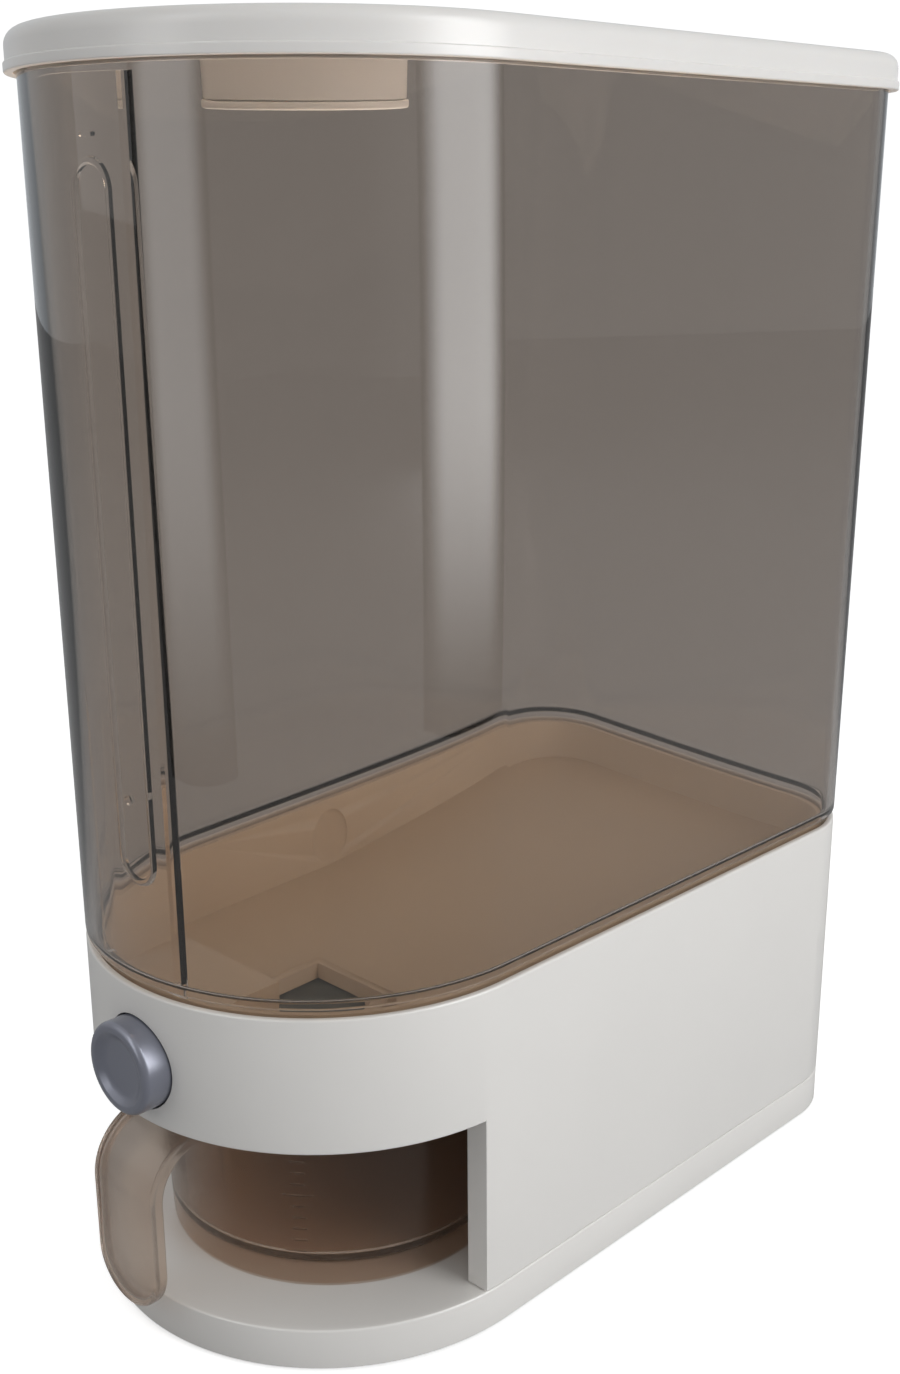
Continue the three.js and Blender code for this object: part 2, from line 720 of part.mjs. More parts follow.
// Slotted twist cap; local origin on the axis at its lower face.
function desiccantCap() {
  const low = desiccantRadius - desiccantTaper;
  const lipRadius = low - desiccantWall - gap;
  const disc = new THREE.LatheGeometry([
    new THREE.Vector2(0, 0),
    new THREE.Vector2(low + 0.1, 0),
    new THREE.Vector2(low + 0.7, 0.6),
    new THREE.Vector2(low + 0.7, capThickness),
    new THREE.Vector2(lipRadius, capThickness),
    new THREE.Vector2(lipRadius, capThickness + 4),
    new THREE.Vector2(lipRadius - 1.5, capThickness + 4),
    new THREE.Vector2(lipRadius - 1.5, capThickness),
    new THREE.Vector2(0, capThickness),
  ], 40);
  disc.rotateX(Math.PI / 2);
  const slots = [];
  const slotCount = 16;
  for (let i = 0; i < slotCount; i += 1) {
    const slot = new THREE.BoxGeometry(13, 1.8, 3 * capThickness);
    slot.translate(17.5, 0, 0);
    slot.rotateZ((2 * Math.PI * i) / slotCount);
    slots.push(solid(slot));
  }
  const grip = box(-9, 9, -1.1, 1.1, capThickness, capThickness + 1);
  return geometryOf(without(solid(disc).add(grip), slots));
}

function sachet() {
  const edge = sachetRadius;
  const mid = sachetHeight / 2;
  const geometry = new THREE.LatheGeometry([
    new THREE.Vector2(0, 0),
    new THREE.Vector2(edge * 0.7, 0.8),
    new THREE.Vector2(edge * 0.92, mid - 2),
    new THREE.Vector2(edge, mid - 0.5),
    new THREE.Vector2(edge, mid + 0.5),
    new THREE.Vector2(edge * 0.92, mid + 2),
    new THREE.Vector2(edge * 0.7, sachetHeight - 0.8),
    new THREE.Vector2(0, sachetHeight),
  ], 28);
  geometry.rotateX(Math.PI / 2);
  return geometry;
}

// ---- measuring cup ----
// Side profile (Y, Z) of the hook, set in from its outer face by `inset`.
function hookShape(inset, depth) {
  const face = handleFace + inset;
  const top = cupTop - inset;
  const back = face + depth;
  const under = top - depth;
  const bend = handleBend - inset;
  const innerBend = Math.max(bend - depth, 1);
  const root = cupY - cupTopRadius + 1;
  const shape = new THREE.Shape();
  shape.moveTo(face, 0);
  shape.lineTo(face, top - bend);
  shape.absarc(face + bend, top - bend, bend, Math.PI, Math.PI / 2, true);
  shape.lineTo(root, top);
  shape.lineTo(root, under);
  shape.lineTo(back + innerBend, under);
  shape.absarc(back + innerBend, under - innerBend, innerBend, Math.PI / 2, Math.PI, false);
  shape.lineTo(back, 0);
  shape.closePath();
  return shape;
}

function hookSolid(inset, depth, half) {
  const geometry = new THREE.ExtrudeGeometry(hookShape(inset, depth), {
    depth: 2 * half, bevelEnabled: false, curveSegments: 4,
  });
  geometry.rotateX(Math.PI / 2);
  geometry.rotateZ(Math.PI / 2);
  geometry.translate(-half, 0, 0);
  return solid(geometry);
}

function handle() {
  const half = handleWidth / 2;
  const outline = facing(stadium(handleWidth, handleBottom, 2 * overallHeight), -big / 2, 0, 8);
  const inner = facing(
    stadium(handleWidth - 2 * handleSkin, handleBottom + handleSkin, 2 * overallHeight), -big / 2, 0, 8,
  );
  const strip = hookSolid(0, handleThickness, half).intersect(outline);
  const trough = hookSolid(handleSkin, handleThickness, half - handleSkin).intersect(inner);
  return strip.subtract(trough);
}

function measuringCup() {
  const base = plateTop + gap;
  const rise = cupTop - base;
  const innerBase = cupBaseRadius - cupWall;
  const bowl = new THREE.LatheGeometry([
    new THREE.Vector2(0, cupFloorLift - cupWall),
    new THREE.Vector2(innerBase - 1, cupFloorLift - cupWall),
    new THREE.Vector2(innerBase, cupFloorLift - cupWall - 1),
    new THREE.Vector2(innerBase, 0),
    new THREE.Vector2(cupBaseRadius - 0.6, 0),
    new THREE.Vector2(cupBaseRadius, 0.6),
    new THREE.Vector2(cupTopRadius, rise),
    new THREE.Vector2(cupTopRadius - cupWall, rise),
    new THREE.Vector2(innerBase + 0.5, cupFloorLift + 3),
    new THREE.Vector2(innerBase - 2.5, cupFloorLift),
    new THREE.Vector2(0, cupFloorLift),
  ], 56);
  bowl.rotateX(Math.PI / 2);
  bowl.translate(0, cupY, base);
  const inside = new THREE.CylinderGeometry(cupTopRadius - cupWall, innerBase, rise, 56);
  inside.rotateX(Math.PI / 2);
  inside.translate(0, cupY, base + rise / 2 + cupFloorLift);
  const hook = handle().subtract(solid(inside));
  return geometryOf(solid(bowl).add(hook));
}

// ---- assembly ----
const lidBack = topBack + lidLip;
const centreY = (lidBack + handleFace) / 2;

const dispenser = new THREE.Group();
dispenser.name = 'cereal_dispenser';

const base = new THREE.Group();
base.name = 'base_group';
base.position.y = -centreY;
base.add(part('base_shell', baseShell(), white));
base.add(part('base_plate', basePlate(), white));
footPlaces.forEach(([x, y], i) => base.add(part(`foot_${i + 1}`, foot(), rubber, x, y, 0)));
screwPlaces.forEach(([x, y], i) => base.add(
  part(`plate_screw_${i + 1}`, screw(plateScrewLength), steel, x, y, plateTop - plateSkin - gap),
));
base.add(part('hopper_funnel', hopperFunnel(), cream));
base.add(part('neck_seal', neckSeal(), silicone, 0, 0, sealBottom));
base.add(part('gate_guide', gateGuide(), cream));
guideScrews.forEach(([x, y], i) => base.add(
  part(`guide_screw_${i + 1}`, screw(guideScrewLength), steel, x, y, guideBottom - gap),
));
base.add(part('return_spring', returnSpring(), steel, 0, springFront, buttonHeight));

const slider = new THREE.Group();
slider.name = 'slider_group';
slider.add(part('gate_slider', gateSlider(), slate));
slider.add(part('button_cap', buttonCap(), greyBlue, 0, buttonFace, buttonHeight));
slider.add(part('button_stem', buttonStem(), slate, 0, stemFront + gap, buttonHeight));
const stemScrew = part('stem_screw', screw(12), steel, 0, lugBack + gap, buttonHeight);
stemScrew.rotation.x = Math.PI / 2;
slider.add(stemScrew);
base.add(slider);

const cup = new THREE.Group();
cup.name = 'cup_group';
cup.add(part('measuring_cup', measuringCup(), smoke));
base.add(cup);

const tankGroup = new THREE.Group();
tankGroup.name = 'tank_group';
tankGroup.add(part('tank', tank(), smoke));
tankGroup.add(part('tank_channel', tankChannel(), smoke));
base.add(tankGroup);

const lidGroup = new THREE.Group();
lidGroup.name = 'lid_group';
const boxBottom = overallHeight - lidSkin - gap - desiccantHeight;
lidGroup.add(part('lid', lid(), white));
lidGroup.add(part('lid_gasket', lidGasket(), silicone, 0, 0, tankTop + gap));
const boxMesh = part('desiccant_box', desiccantBox(), white, 0, 0, boxBottom + capThickness + gap);
boxMesh.rotation.x = Math.PI / 2;
lidGroup.add(boxMesh);
lidGroup.add(part('desiccant_cap', desiccantCap(), white, 0, 0, boxBottom));
lidGroup.add(part('desiccant_sachet', sachet(), paper, 0, 0, boxBottom + capThickness + 2));
tankGroup.add(lidGroup);

dispenser.add(base);

export default dispenser;
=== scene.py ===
import math

import bmesh
import bpy
from mathutils import Matrix, Vector


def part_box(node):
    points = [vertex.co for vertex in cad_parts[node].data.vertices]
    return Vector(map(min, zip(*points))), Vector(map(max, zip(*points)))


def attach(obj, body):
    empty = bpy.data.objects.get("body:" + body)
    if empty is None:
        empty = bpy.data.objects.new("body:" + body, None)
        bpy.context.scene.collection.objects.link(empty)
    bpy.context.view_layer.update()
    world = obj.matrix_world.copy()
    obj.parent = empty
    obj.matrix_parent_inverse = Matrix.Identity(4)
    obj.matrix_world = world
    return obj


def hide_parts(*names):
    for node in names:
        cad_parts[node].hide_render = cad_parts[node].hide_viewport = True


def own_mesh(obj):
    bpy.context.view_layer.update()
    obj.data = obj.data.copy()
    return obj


bl_info = {
    "name": "Cereal Dispenser",
    "version": (1, 0, 0),
    "blender": (4, 5, 0),
    "location": "3D Viewport > Sidebar > Dispenser",
    "description": "Builds a push-button cereal dispenser around its packed frame",
    "category": "Add Mesh",
}

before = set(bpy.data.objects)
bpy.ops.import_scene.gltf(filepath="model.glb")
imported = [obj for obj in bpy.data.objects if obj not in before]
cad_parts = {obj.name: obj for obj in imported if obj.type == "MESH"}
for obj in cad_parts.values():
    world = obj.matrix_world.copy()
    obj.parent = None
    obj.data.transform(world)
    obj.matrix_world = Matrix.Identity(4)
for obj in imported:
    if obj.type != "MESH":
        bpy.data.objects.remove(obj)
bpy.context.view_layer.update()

MM = 0.001
FAR = 900.0        # past everything, for tools that cut right through
DEEP_INSET = 45.0  # from the outer face to well inside the base
DRAWN_IN = 0.985   # shortens the hollow along Y, so that the back wall keeps its thickness under the draft
ROD_PLAY = 0.4     # clearance round the button's rod
CHUTE_SIDE, CHUTE_FRONT, CHUTE_BACK = 20.6, -26.6, 10.6  # slot in the ceiling that the chute drops through
CUP_RISE = 64.0    # height over which the cup widens from foot to rim
FIRST_TICK = 15.0  # lowest graduation line above the cup's foot
TICK_TURN = 0.62   # angle, in radians, of the graduation lines from the front


def centre_of_front():
    """Distance along Y, in metres, of the middle of the half-round front."""
    low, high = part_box("base_shell")
    return low.y + high.x


CENTRE_Y = centre_of_front()


def span(node):
    """Lowest and highest corner of a frame node, in millimetres from the middle of the half-round front."""
    shift = Vector((0, CENTRE_Y, 0))
    low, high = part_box(node)
    return (low - shift) / MM, (high - shift) / MM


# ---------------------------------------------------------------- settings

def length(name, description, default):
    """A length property, given in millimetres and kept in metres."""
    return bpy.props.FloatProperty(
        name=name, description=description, default=default * MM, min=0, unit="LENGTH", precision=4)


def colour(name, description, default):
    """A colour property."""
    return bpy.props.FloatVectorProperty(
        name=name, description=description, default=default, size=3, min=0, max=1, subtype="COLOR")


def share(name, description, default):
    """A property from 0 to 1."""
    return bpy.props.FloatProperty(name=name, description=description, default=default, min=0, max=1)


def count(name, description, default):
    """A whole-number property."""
    return bpy.props.IntProperty(name=name, description=description, default=default, min=1)


class DispenserShellSizes(bpy.types.PropertyGroup):
    """Sizes of the base, the funnel and the button."""

    corner: length("Back corner", "Radius of the two back corners in plan", 34)
    wall: length("Base wall", "Wall of the white base", 2.6)
    back_draft: length("Back draft", "How far the back of the base leans in at the bottom", 3)
    rim_round: length("Rim rounding", "Rounding of the base's moulded edges", 0.8)
    seam_round: length("Seam rounding", "Rounding where the base meets its bottom plate", 0.5)
    skirt_bottom: length("Skirt bottom", "Height of the lower edge above the cup niche", 82.7)
    niche_front: length("Niche front", "How far the side walls reach in front of the round's middle", 10)
    niche_half: length("Niche half width", "Inner radius of the cup niche", 78)
    niche_wall: length("Niche wall", "Wall round the cup niche", 2.4)
    ceiling: length("Niche ceiling", "Thickness of the niche ceiling", 2.2)
    button_height: length("Button height", "Height of the button's axis", 104)
    button_gap: length("Button gap", "Clearance round the button", 0.6)
    sleeve_wall: length("Sleeve wall", "Wall of the sleeve that guides the button", 1.4)
    sleeve_length: length("Sleeve length", "Depth of the sleeve behind the base wall", 17)
    plate_skin: length("Plate skin", "Thickness of the bottom plate", 2.6)
    rib_pitch: length("Rib pitch", "Spacing of the ribs under the bottom plate", 40)
    rib_thickness: length("Rib thickness", "Thickness of a rib", 2)
    segments: count("Front segments", "Segments in the half-round front", 96)


class DispenserTankSizes(bpy.types.PropertyGroup):
    """Sizes of the clear tank, the lid and the drying box."""

    seat: length("Seat", "Height at which the tank rests on the base", 134)
    wall: length("Tank wall", "Wall of the clear tank", 2.5)
    neck_inset: length("Neck inset", "How far the tank's neck stands in from the body", 3)
    neck_wall: length("Neck wall", "Wall of the tank's neck", 2.4)
    shoulder: length("Shoulder rounding", "Rounding of the tank's lower edge", 1.5)
    side_draft: length("Side draft", "How far each side leans out at the top", 1.2)
    back_draft: length("Back draft", "How far the back leans out at the top", 7.5)
    lip_level: length("Lip level", "Height of the lower edge of the lid", 417)
    channel_half: length("Channel half width", "Half width of the front channel", 19.8)
    channel_depth: length("Channel depth", "How far the channel's panel stands behind the front", 7.1)
    channel_wall: length("Channel wall", "Wall of the front channel", 1.7)
    bead_width: length("Bead width", "Width of the long oval bead", 18.8)
    bead_line: length("Bead line", "Width of the raised line", 2.4)
    bead_height: length("Bead height", "Height of the raised line", 1.4)
    bead_bottom: length("Bead bottom", "Lowest point of the oval bead", 165.7)
    bead_top: length("Bead top", "Highest point of the oval bead", 391.4)
    lid_overhang: length("Lid overhang", "How far the lid stands out past the tank", 3.2)
    lid_lip: length("Lid lip", "How far the lip stands out past the tank", 3.85)
    lip_height: length("Lip height", "Height of the lip", 3)
    lid_round: length("Lid rounding", "Rounding of the lid's upper edge", 5.2)
    lid_wall: length("Lid wall", "Wall of the lid", 2.4)
    lid_skin: length("Lid skin", "Thickness of the lid's top", 2.8)
    plug_drop: length("Plug drop", "How far the plug reaches below the lip", 1)
    plug_wall: length("Plug wall", "Wall of the plug inside the tank", 2.2)
    box_radius: length("Drying box radius", "Radius of the drying box", 33)
    box_wall: length("Drying box wall", "Wall of the drying box", 1.8)
    slots: count("Cap slots", "Number of slots in the drying box's cap", 16)


class DispenserCupSizes(bpy.types.PropertyGroup):
    """Sizes of the measuring cup and its handle."""

    middle: length("Middle", "How far the cup's axis stands behind the round's middle", 1)
    base_radius: length("Base radius", "Radius of the cup at its foot", 63.5)
    top_radius: length("Top radius", "Radius of the cup at its rim", 66.5)
    wall: length("Wall", "Wall of the cup", 2)
    floor_lift: length("Floor lift", "Height of the cup's floor above its foot", 12)
    handle_width: length("Handle width", "Width of the handle", 33.5)
    handle_bend: length("Handle bend", "Radius of the handle's upper bend", 22)
    handle_depth: length("Handle depth", "Depth of the handle's channel", 5.2)
    handle_skin: length("Handle skin", "Wall of the handle", 2.2)
    handle_bottom: length("Handle bottom", "Height of the handle's rounded end", 15.2)
    ticks: count("Ticks", "Number of graduation lines", 11)
    tick_pitch: length("Tick pitch", "Spacing of the graduation lines", 4.5)


class DispenserLooks(bpy.types.PropertyGroup):
    """Colours and glosses."""

    white: colour("White", "Moulded white of the base", (0.80, 0.785, 0.76))
    lid_white: colour("Lid white", "Moulded white of the lid", (0.80, 0.785, 0.765))
    cream: colour("Cream", "Moulded cream of the funnel", (0.55, 0.44, 0.325))
    smoke: colour("Smoke", "Tint of light that passes one wall of the clear tank", (0.73, 0.67, 0.62))
    channel_smoke: colour("Channel smoke", "Tint of light that passes the channel's wall", (0.98, 0.95, 0.92))
    cup_smoke: colour("Cup smoke", "Tint of light that passes one wall of the clear cup", (0.76, 0.64, 0.55))
    button_grey: colour("Button grey", "Blue-grey of the button", (0.23, 0.24, 0.29))
    slate: colour("Slate", "Dark grey-green of the gate", (0.085, 0.10, 0.095))
    gloss: share("Gloss", "Roughness of the moulded white", 0.3)


# ---------------------------------------------------------------- mesh tools

def mesh_object(name, points, faces):
    """A closed mesh from points in millimetres, with its faces turned outwards."""
    mesh = bpy.data.meshes.new(name)
    mesh.from_pydata([tuple(p) for p in points], [], faces)
    work = bmesh.new()
    work.from_mesh(mesh)
    bmesh.ops.remove_doubles(work, verts=work.verts, dist=1e-4)
    bmesh.ops.recalc_face_normals(work, faces=work.faces)
    work.to_mesh(mesh)
    work.free()
    obj = bpy.data.objects.new(name, mesh)
    bpy.context.scene.collection.objects.link(obj)
    return obj


def rounded_path(corners, steps=5, closed=True):
    """Points of a path through (u, v, radius) corners, each corner turned as an arc of its radius."""
    path = []
    for i, (u, v, radius) in enumerate(corners):
        here = Vector((u, v))
        at_end = not closed and i in (0, len(corners) - 1)
        if radius <= 0 or at_end:
            path.append(here)
            continue
        back = (Vector(corners[i - 1][:2]) - here).normalized()
        on = (Vector(corners[(i + 1) % len(corners)][:2]) - here).normalized()
        half = back.angle(on) / 2
        middle = here + (back + on).normalized() * (radius / math.sin(half))
        start = here + back * (radius / math.tan(half)) - middle
        end = here + on * (radius / math.tan(half)) - middle
        turn = math.copysign(math.pi - 2 * half, start.cross(end))
        for k in range(steps + 1):
            path.append(middle + Matrix.Rotation(turn * k / steps, 2) @ start)
    return path


def arc(x, y, radius, start, end, steps):
    """Points on an arc, angles in degrees."""
    return [
        (x + radius * math.cos(math.radians(start + (end - start) * i / steps)),
         y + radius * math.sin(math.radians(start + (end - start) * i / steps)))
        for i in range(steps + 1)
    ]


def plan_outline(half, back, corner, inset, front_steps=96, corner_steps=14):
    """Plan of the shells: half circle in front, straight sides and rounded back corners."""
    width, depth = half - inset, back - inset
    turn = max(corner - inset, 0.5)
    outline = arc(0, 0, width, 180, 360, front_steps)
    outline += arc(width - turn, depth - turn, turn, 0, 90, corner_steps)
    outline += arc(turn - width, depth - turn, turn, 90, 180, corner_steps)
    return outline


def loft(name, rings, closed=True):
    """Skin over rings of equal length; a closed run joins the last to the first, an open one is capped."""
    size, runs = len(rings[0]), len(rings)
    faces = []
    for i in range(runs if closed else runs - 1):
        low, high = i * size, (i + 1) % runs * size
        for j in range(size):
            k = (j + 1) % size
            faces.append((low + j, low + k, high + k, high + j))
    if not closed:
        faces.append(tuple(reversed(range(size))))
        faces.append(tuple(range((runs - 1) * size, runs * size)))
    return mesh_object(name, [p for ring in rings for p in ring], faces)


def shell(name, outline, profile, lean=None, closed=True):
    """Lofts a section of (inset, height) points round a plan; `lean` moves each point for draft."""
    rings = []
    for inset, z in profile:
        ring = [(x, y, z) for x, y in outline(inset)]
        rings.append([lean(*p) for p in ring] if lean else ring)
    return loft(name, rings, closed)


def spun(name, path, x=0.0, y=0.0, steps=96):
    """Turns a section of (radius, height) points about an upright axis; radius 0 is a pole."""
    rings = []
    for radius, z in path:
        rings.append([
            (x + radius * math.cos(turn), y + radius * math.sin(turn), z)
            for turn in (2 * math.pi * i / steps for i in range(steps))
        ])
    return loft(name, rings, closed=path[0][0] > 0)


def prism(name, outline, low, high, axis="Z"):
    """Extrudes an outline along an axis. The outline is (x, y), (x, z) or (y, z)."""
    place = {
        "Z": lambda u, v, w: (u, v, w),
        "Y": lambda u, v, w: (u, w, v),
        "X": lambda u, v, w: (w, u, v),
    }[axis]
    return loft(name, [[place(u, v, w) for u, v in outline] for w in (low, high)], closed=False)


def block(x0, x1, y0, y1, z0, z1):
    """A plain box used to join or cut."""
    return prism("block", [(x0, y0), (x1, y0), (x1, y1), (x0, y1)], z0, z1)


def settle(obj):
    """Turns what the modifiers make into the object's own mesh."""
    graph = bpy.context.evaluated_depsgraph_get()
    made = bpy.data.meshes.new_from_object(obj.evaluated_get(graph), depsgraph=graph)
    obj.modifiers.clear()
    old = obj.data
    obj.data = made
    bpy.data.meshes.remove(old)
    made.name = obj.name
    return obj


def combine(obj, tools, operation):
    """Joins, cuts or keeps the common part of closed meshes; the tools are used up."""
    for tool in tools:
        modifier = obj.modifiers.new(operation.lower(), "BOOLEAN")
        modifier.operation = operation
        modifier.solver = "MANIFOLD"
        modifier.object = tool
        settle(obj)
        bpy.data.objects.remove(tool)
    return obj


def join(obj, *tools):
    """Adds closed meshes to obj."""
    return combine(obj, tools, "UNION")


def cut(obj, *tools):
    """Takes closed meshes away from obj."""
    return combine(obj, tools, "DIFFERENCE")


def keep(obj, *tools):
    """Keeps what obj shares with closed meshes."""
    return combine(obj, tools, "INTERSECT")


def clean(obj, flat=0.4):
    """Merges doubles and dissolves flat faces, so that edges can be rounded."""
    work = bmesh.new()
    work.from_mesh(obj.data)
    bmesh.ops.remove_doubles(work, verts=work.verts, dist=2e-3)
    bmesh.ops.dissolve_degenerate(work, edges=work.edges, dist=2e-3)
    bmesh.ops.dissolve_limit(
        work, angle_limit=math.radians(flat), verts=work.verts, edges=work.edges, delimit={"NORMAL"})
    work.to_mesh(obj.data)
    work.free()
    return obj


def soften(obj, width, segments=2, angle=50):
    """Rounds the edges that are sharper than angle."""
    modifier = obj.modifiers.new("edges", "BEVEL")
    modifier.width = width
    modifier.segments = segments
    modifier.limit_method = "ANGLE"
    modifier.angle_limit = math.radians(angle)
    modifier.miter_outer = "MITER_ARC"
    modifier.use_clamp_overlap = True
    return settle(obj)


def finished(obj, body, slot, material, *nodes, angle=35):
    """Places a piece made in millimetres, shades it, and gives it its body and looks; the slot is not used."""
    obj.data.transform(Matrix.Translation((0, CENTRE_Y, 0)) @ Matrix.Scale(MM, 4))
    obj.data.materials.clear()
    obj.data.materials.append(material)
    shaded(obj.data, angle)
    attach(obj, body)
    if nodes:
        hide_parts(*nodes)
    return obj


def shaded(mesh, angle):
    """Smooth shading, kept sharp at edges over angle."""
    mesh.polygons.foreach_set("use_smooth", [True] * len(mesh.polygons))
    mesh.set_sharp_from_angle(angle=math.radians(angle))
    mesh.update()


def frame_copy(node, name, soft=0.35):
    """A merged copy of a frame node, in millimetres, with its edges rounded."""
    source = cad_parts[node]
    obj = bpy.data.objects.new(name, source.data.copy())
    bpy.context.scene.collection.objects.link(obj)
    obj.data.transform(Matrix.Scale(1 / MM, 4) @ Matrix.Translation((0, -CENTRE_Y, 0)))
    clean(obj)
    return soften(obj, soft) if soft else obj


def dressed(node, material):
    """Gives a frame node that is shown as it is its material."""
    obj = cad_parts[node]
    obj.data.materials.clear()
    obj.data.materials.append(material)


# ---------------------------------------------------------------- node tools

def node(tree, kind, **values):
    """A new node; values name its inputs, or its own settings when they start with an underscore."""
    made = tree.nodes.new(kind)
    for key, value in values.items():
        if key.startswith("_"):
            setattr(made, key[1:], value)
    for key, value in values.items():
        if not key.startswith("_"):
            socket = made.inputs[int(key[1:])] if key[1:].isdigit() else made.inputs[key.replace("_", " ")]
            if isinstance(value, bpy.types.NodeSocket):
                tree.links.new(value, socket)
            else:
                socket.default_value = value
    return made


def sum_of(tree, operation, *values):
    """The output of a Math node, in shader and geometry trees alike."""
    made = tree.nodes.new("ShaderNodeMath")
    made.operation = operation
    for socket, value in zip(made.inputs, values):
        if isinstance(value, bpy.types.NodeSocket):
            tree.links.new(value, socket)
        else:
            socket.default_value = value
    return made.outputs[0]


def node_tree(name, **inputs):
    """A Geometry Nodes tree with named number inputs, plus its input and output nodes."""
    tree = bpy.data.node_groups.new(name, "GeometryNodeTree")
    tree.interface.new_socket(name="Geometry", in_out="INPUT", socket_type="NodeSocketGeometry")
    for key, value in inputs.items():
        kind = "NodeSocketInt" if isinstance(value, int) else "NodeSocketFloat"
        socket = tree.interface.new_socket(name=key.replace("_", " "), in_out="INPUT", socket_type=kind)
        socket.default_value = value
    tree.interface.new_socket(name="Geometry", in_out="OUTPUT", socket_type="NodeSocketGeometry")
    return tree, tree.nodes.new("NodeGroupInput").outputs, tree.nodes.new("NodeGroupOutput")


def close_tree(tree, geometry, out, material):
    """Ends a tree in Realize Instances and Set Material."""
    real = node(tree, "GeometryNodeRealizeInstances", Geometry=geometry)
    named = node(tree, "GeometryNodeSetMaterial", Geometry=real.outputs[0], Material=material)
    tree.links.new(named.outputs[0], out.inputs[0])


def grow(obj, tree, **values):
    """Runs a tree on obj with its inputs set by identifier, and keeps the result as a plain mesh."""
    modifier = obj.modifiers.new(tree.name, "NODES")
    modifier.node_group = tree
    for item in tree.interface.items_tree:
        key = item.name.replace(" ", "_")
        if item.in_out == "INPUT" and key in values:
            modifier[item.identifier] = values[key]
    obj.update_tag()
    bpy.context.view_layer.update()
    return settle(obj)


# ---------------------------------------------------------------- materials

def new_material(name):
    """An empty node material and its output node."""
    material = bpy.data.materials.get(name) or bpy.data.materials.new(name)
    material.use_nodes = True
    material.node_tree.nodes.clear()
    return material, material.node_tree, material.node_tree.nodes.new("ShaderNodeOutputMaterial")


def speckle(tree, scale, detail=2.0, rough=0.5):
    """Noise over the object's own coordinates."""
    place = node(tree, "ShaderNodeTexCoord")
    return node(tree, "ShaderNodeTexNoise", Vector=place.outputs["Object"],
                Scale=scale, Detail=detail, Roughness=rough).outputs["Fac"]


def ranged(tree, value, low, high):
    """A noise value stretched to a range."""
    return node(tree, "ShaderNodeMapRange", Value=value, From_Min=0.15, From_Max=0.85,
                To_Min=low, To_Max=high).outputs[0]


def tinted(tree, base, value, depth):
    """The base colour, darkened a little where value is low."""
    mix = node(tree, "ShaderNodeMix", _data_type="RGBA")
    tree.links.new(value, mix.inputs[0])
    mix.inputs[6].default_value = (*[c * (1 - depth) for c in base], 1)
    mix.inputs[7].default_value = (*[min(1, c * (1 + depth)) for c in base], 1)
    return mix.outputs[2]


def moulded(name, base, rough, grain=0.000006, patch=18, metallic=0.0, coat=0.0, glow=0.0):
    """Moulded plastic: faint patches of tone, uneven gloss and a fine skin."""
    material, tree, out = new_material(name)
    broad = ranged(tree, speckle(tree, patch, 3), 0, 1)
    skin = speckle(tree, 420, 4)
    bump = node(tree, "ShaderNodeBump", Strength=0.35, Distance=grain, Height=skin)
    shader = node(
        tree, "ShaderNodeBsdfPrincipled", Base_Color=tinted(tree, base, broad, 0.02),
        Roughness=ranged(tree, speckle(tree, 35, 2), rough * 0.95, rough * 1.06),
        Normal=bump.outputs[0])
    shader.inputs["Metallic"].default_value = metallic
    shader.inputs["Coat Weight"].default_value = coat
    shader.inputs["Coat Roughness"].default_value = 0.12
    shader.inputs["Subsurface Weight"].default_value = glow
    shader.inputs["Subsurface Radius"].default_value = (1.0, 0.85, 0.7)
    shader.inputs["Subsurface Scale"].default_value = 0.001
    tree.links.new(shader.outputs[0], out.inputs[0])
    return material


def clear_plastic(name, tint, rough, bend=1.49):
    """Tinted clear plastic with faint flow ripples; `bend` is its index of refraction.

    Lamps shine through it."""
    material, tree, out = new_material(name)
    ripple = speckle(tree, 9, 0, 0.3)
    bump = node(tree, "ShaderNodeBump", Strength=0.15, Distance=0.0003, Height=ripple)
    gloss = ranged(tree, speckle(tree, 12, 1), rough * 0.85, rough * 1.2)
    shader = node(tree, "ShaderNodeBsdfPrincipled", Roughness=gloss, Normal=bump.outputs[0])
    shader.inputs["Base Color"].default_value = (*tint, 1)
    shader.inputs["IOR"].default_value = bend
    shader.inputs["Transmission Weight"].default_value = 1
    each_face = [math.sqrt(c) for c in tint]
    open_to_lamps = node(tree, "ShaderNodeBsdfTransparent", Color=(*each_face, 1))
    path = node(tree, "ShaderNodeLightPath")
    mix = node(tree, "ShaderNodeMixShader")
    tree.links.new(path.outputs["Is Shadow Ray"], mix.inputs[0])
    tree.links.new(shader.outputs[0], mix.inputs[1])
    tree.links.new(open_to_lamps.outputs[0], mix.inputs[2])
    tree.links.new(mix.outputs[0], out.inputs[0])
    return material


def metal(name, base, rough):
    """Bright drawn steel with fine streaks."""
    material, tree, out = new_material(name)
    streak = speckle(tree, 900, 2)
    bump = node(tree, "ShaderNodeBump", Strength=0.3, Distance=0.00001, Height=streak)
    shader = node(
        tree, "ShaderNodeBsdfPrincipled", Base_Color=tinted(tree, base, ranged(tree, streak, 0, 1), 0.05),
        Roughness=ranged(tree, speckle(tree, 200, 3), rough * 0.8, rough * 1.3), Normal=bump.outputs[0])
    shader.inputs["Metallic"].default_value = 1
    tree.links.new(shader.outputs[0], out.inputs[0])
    return material


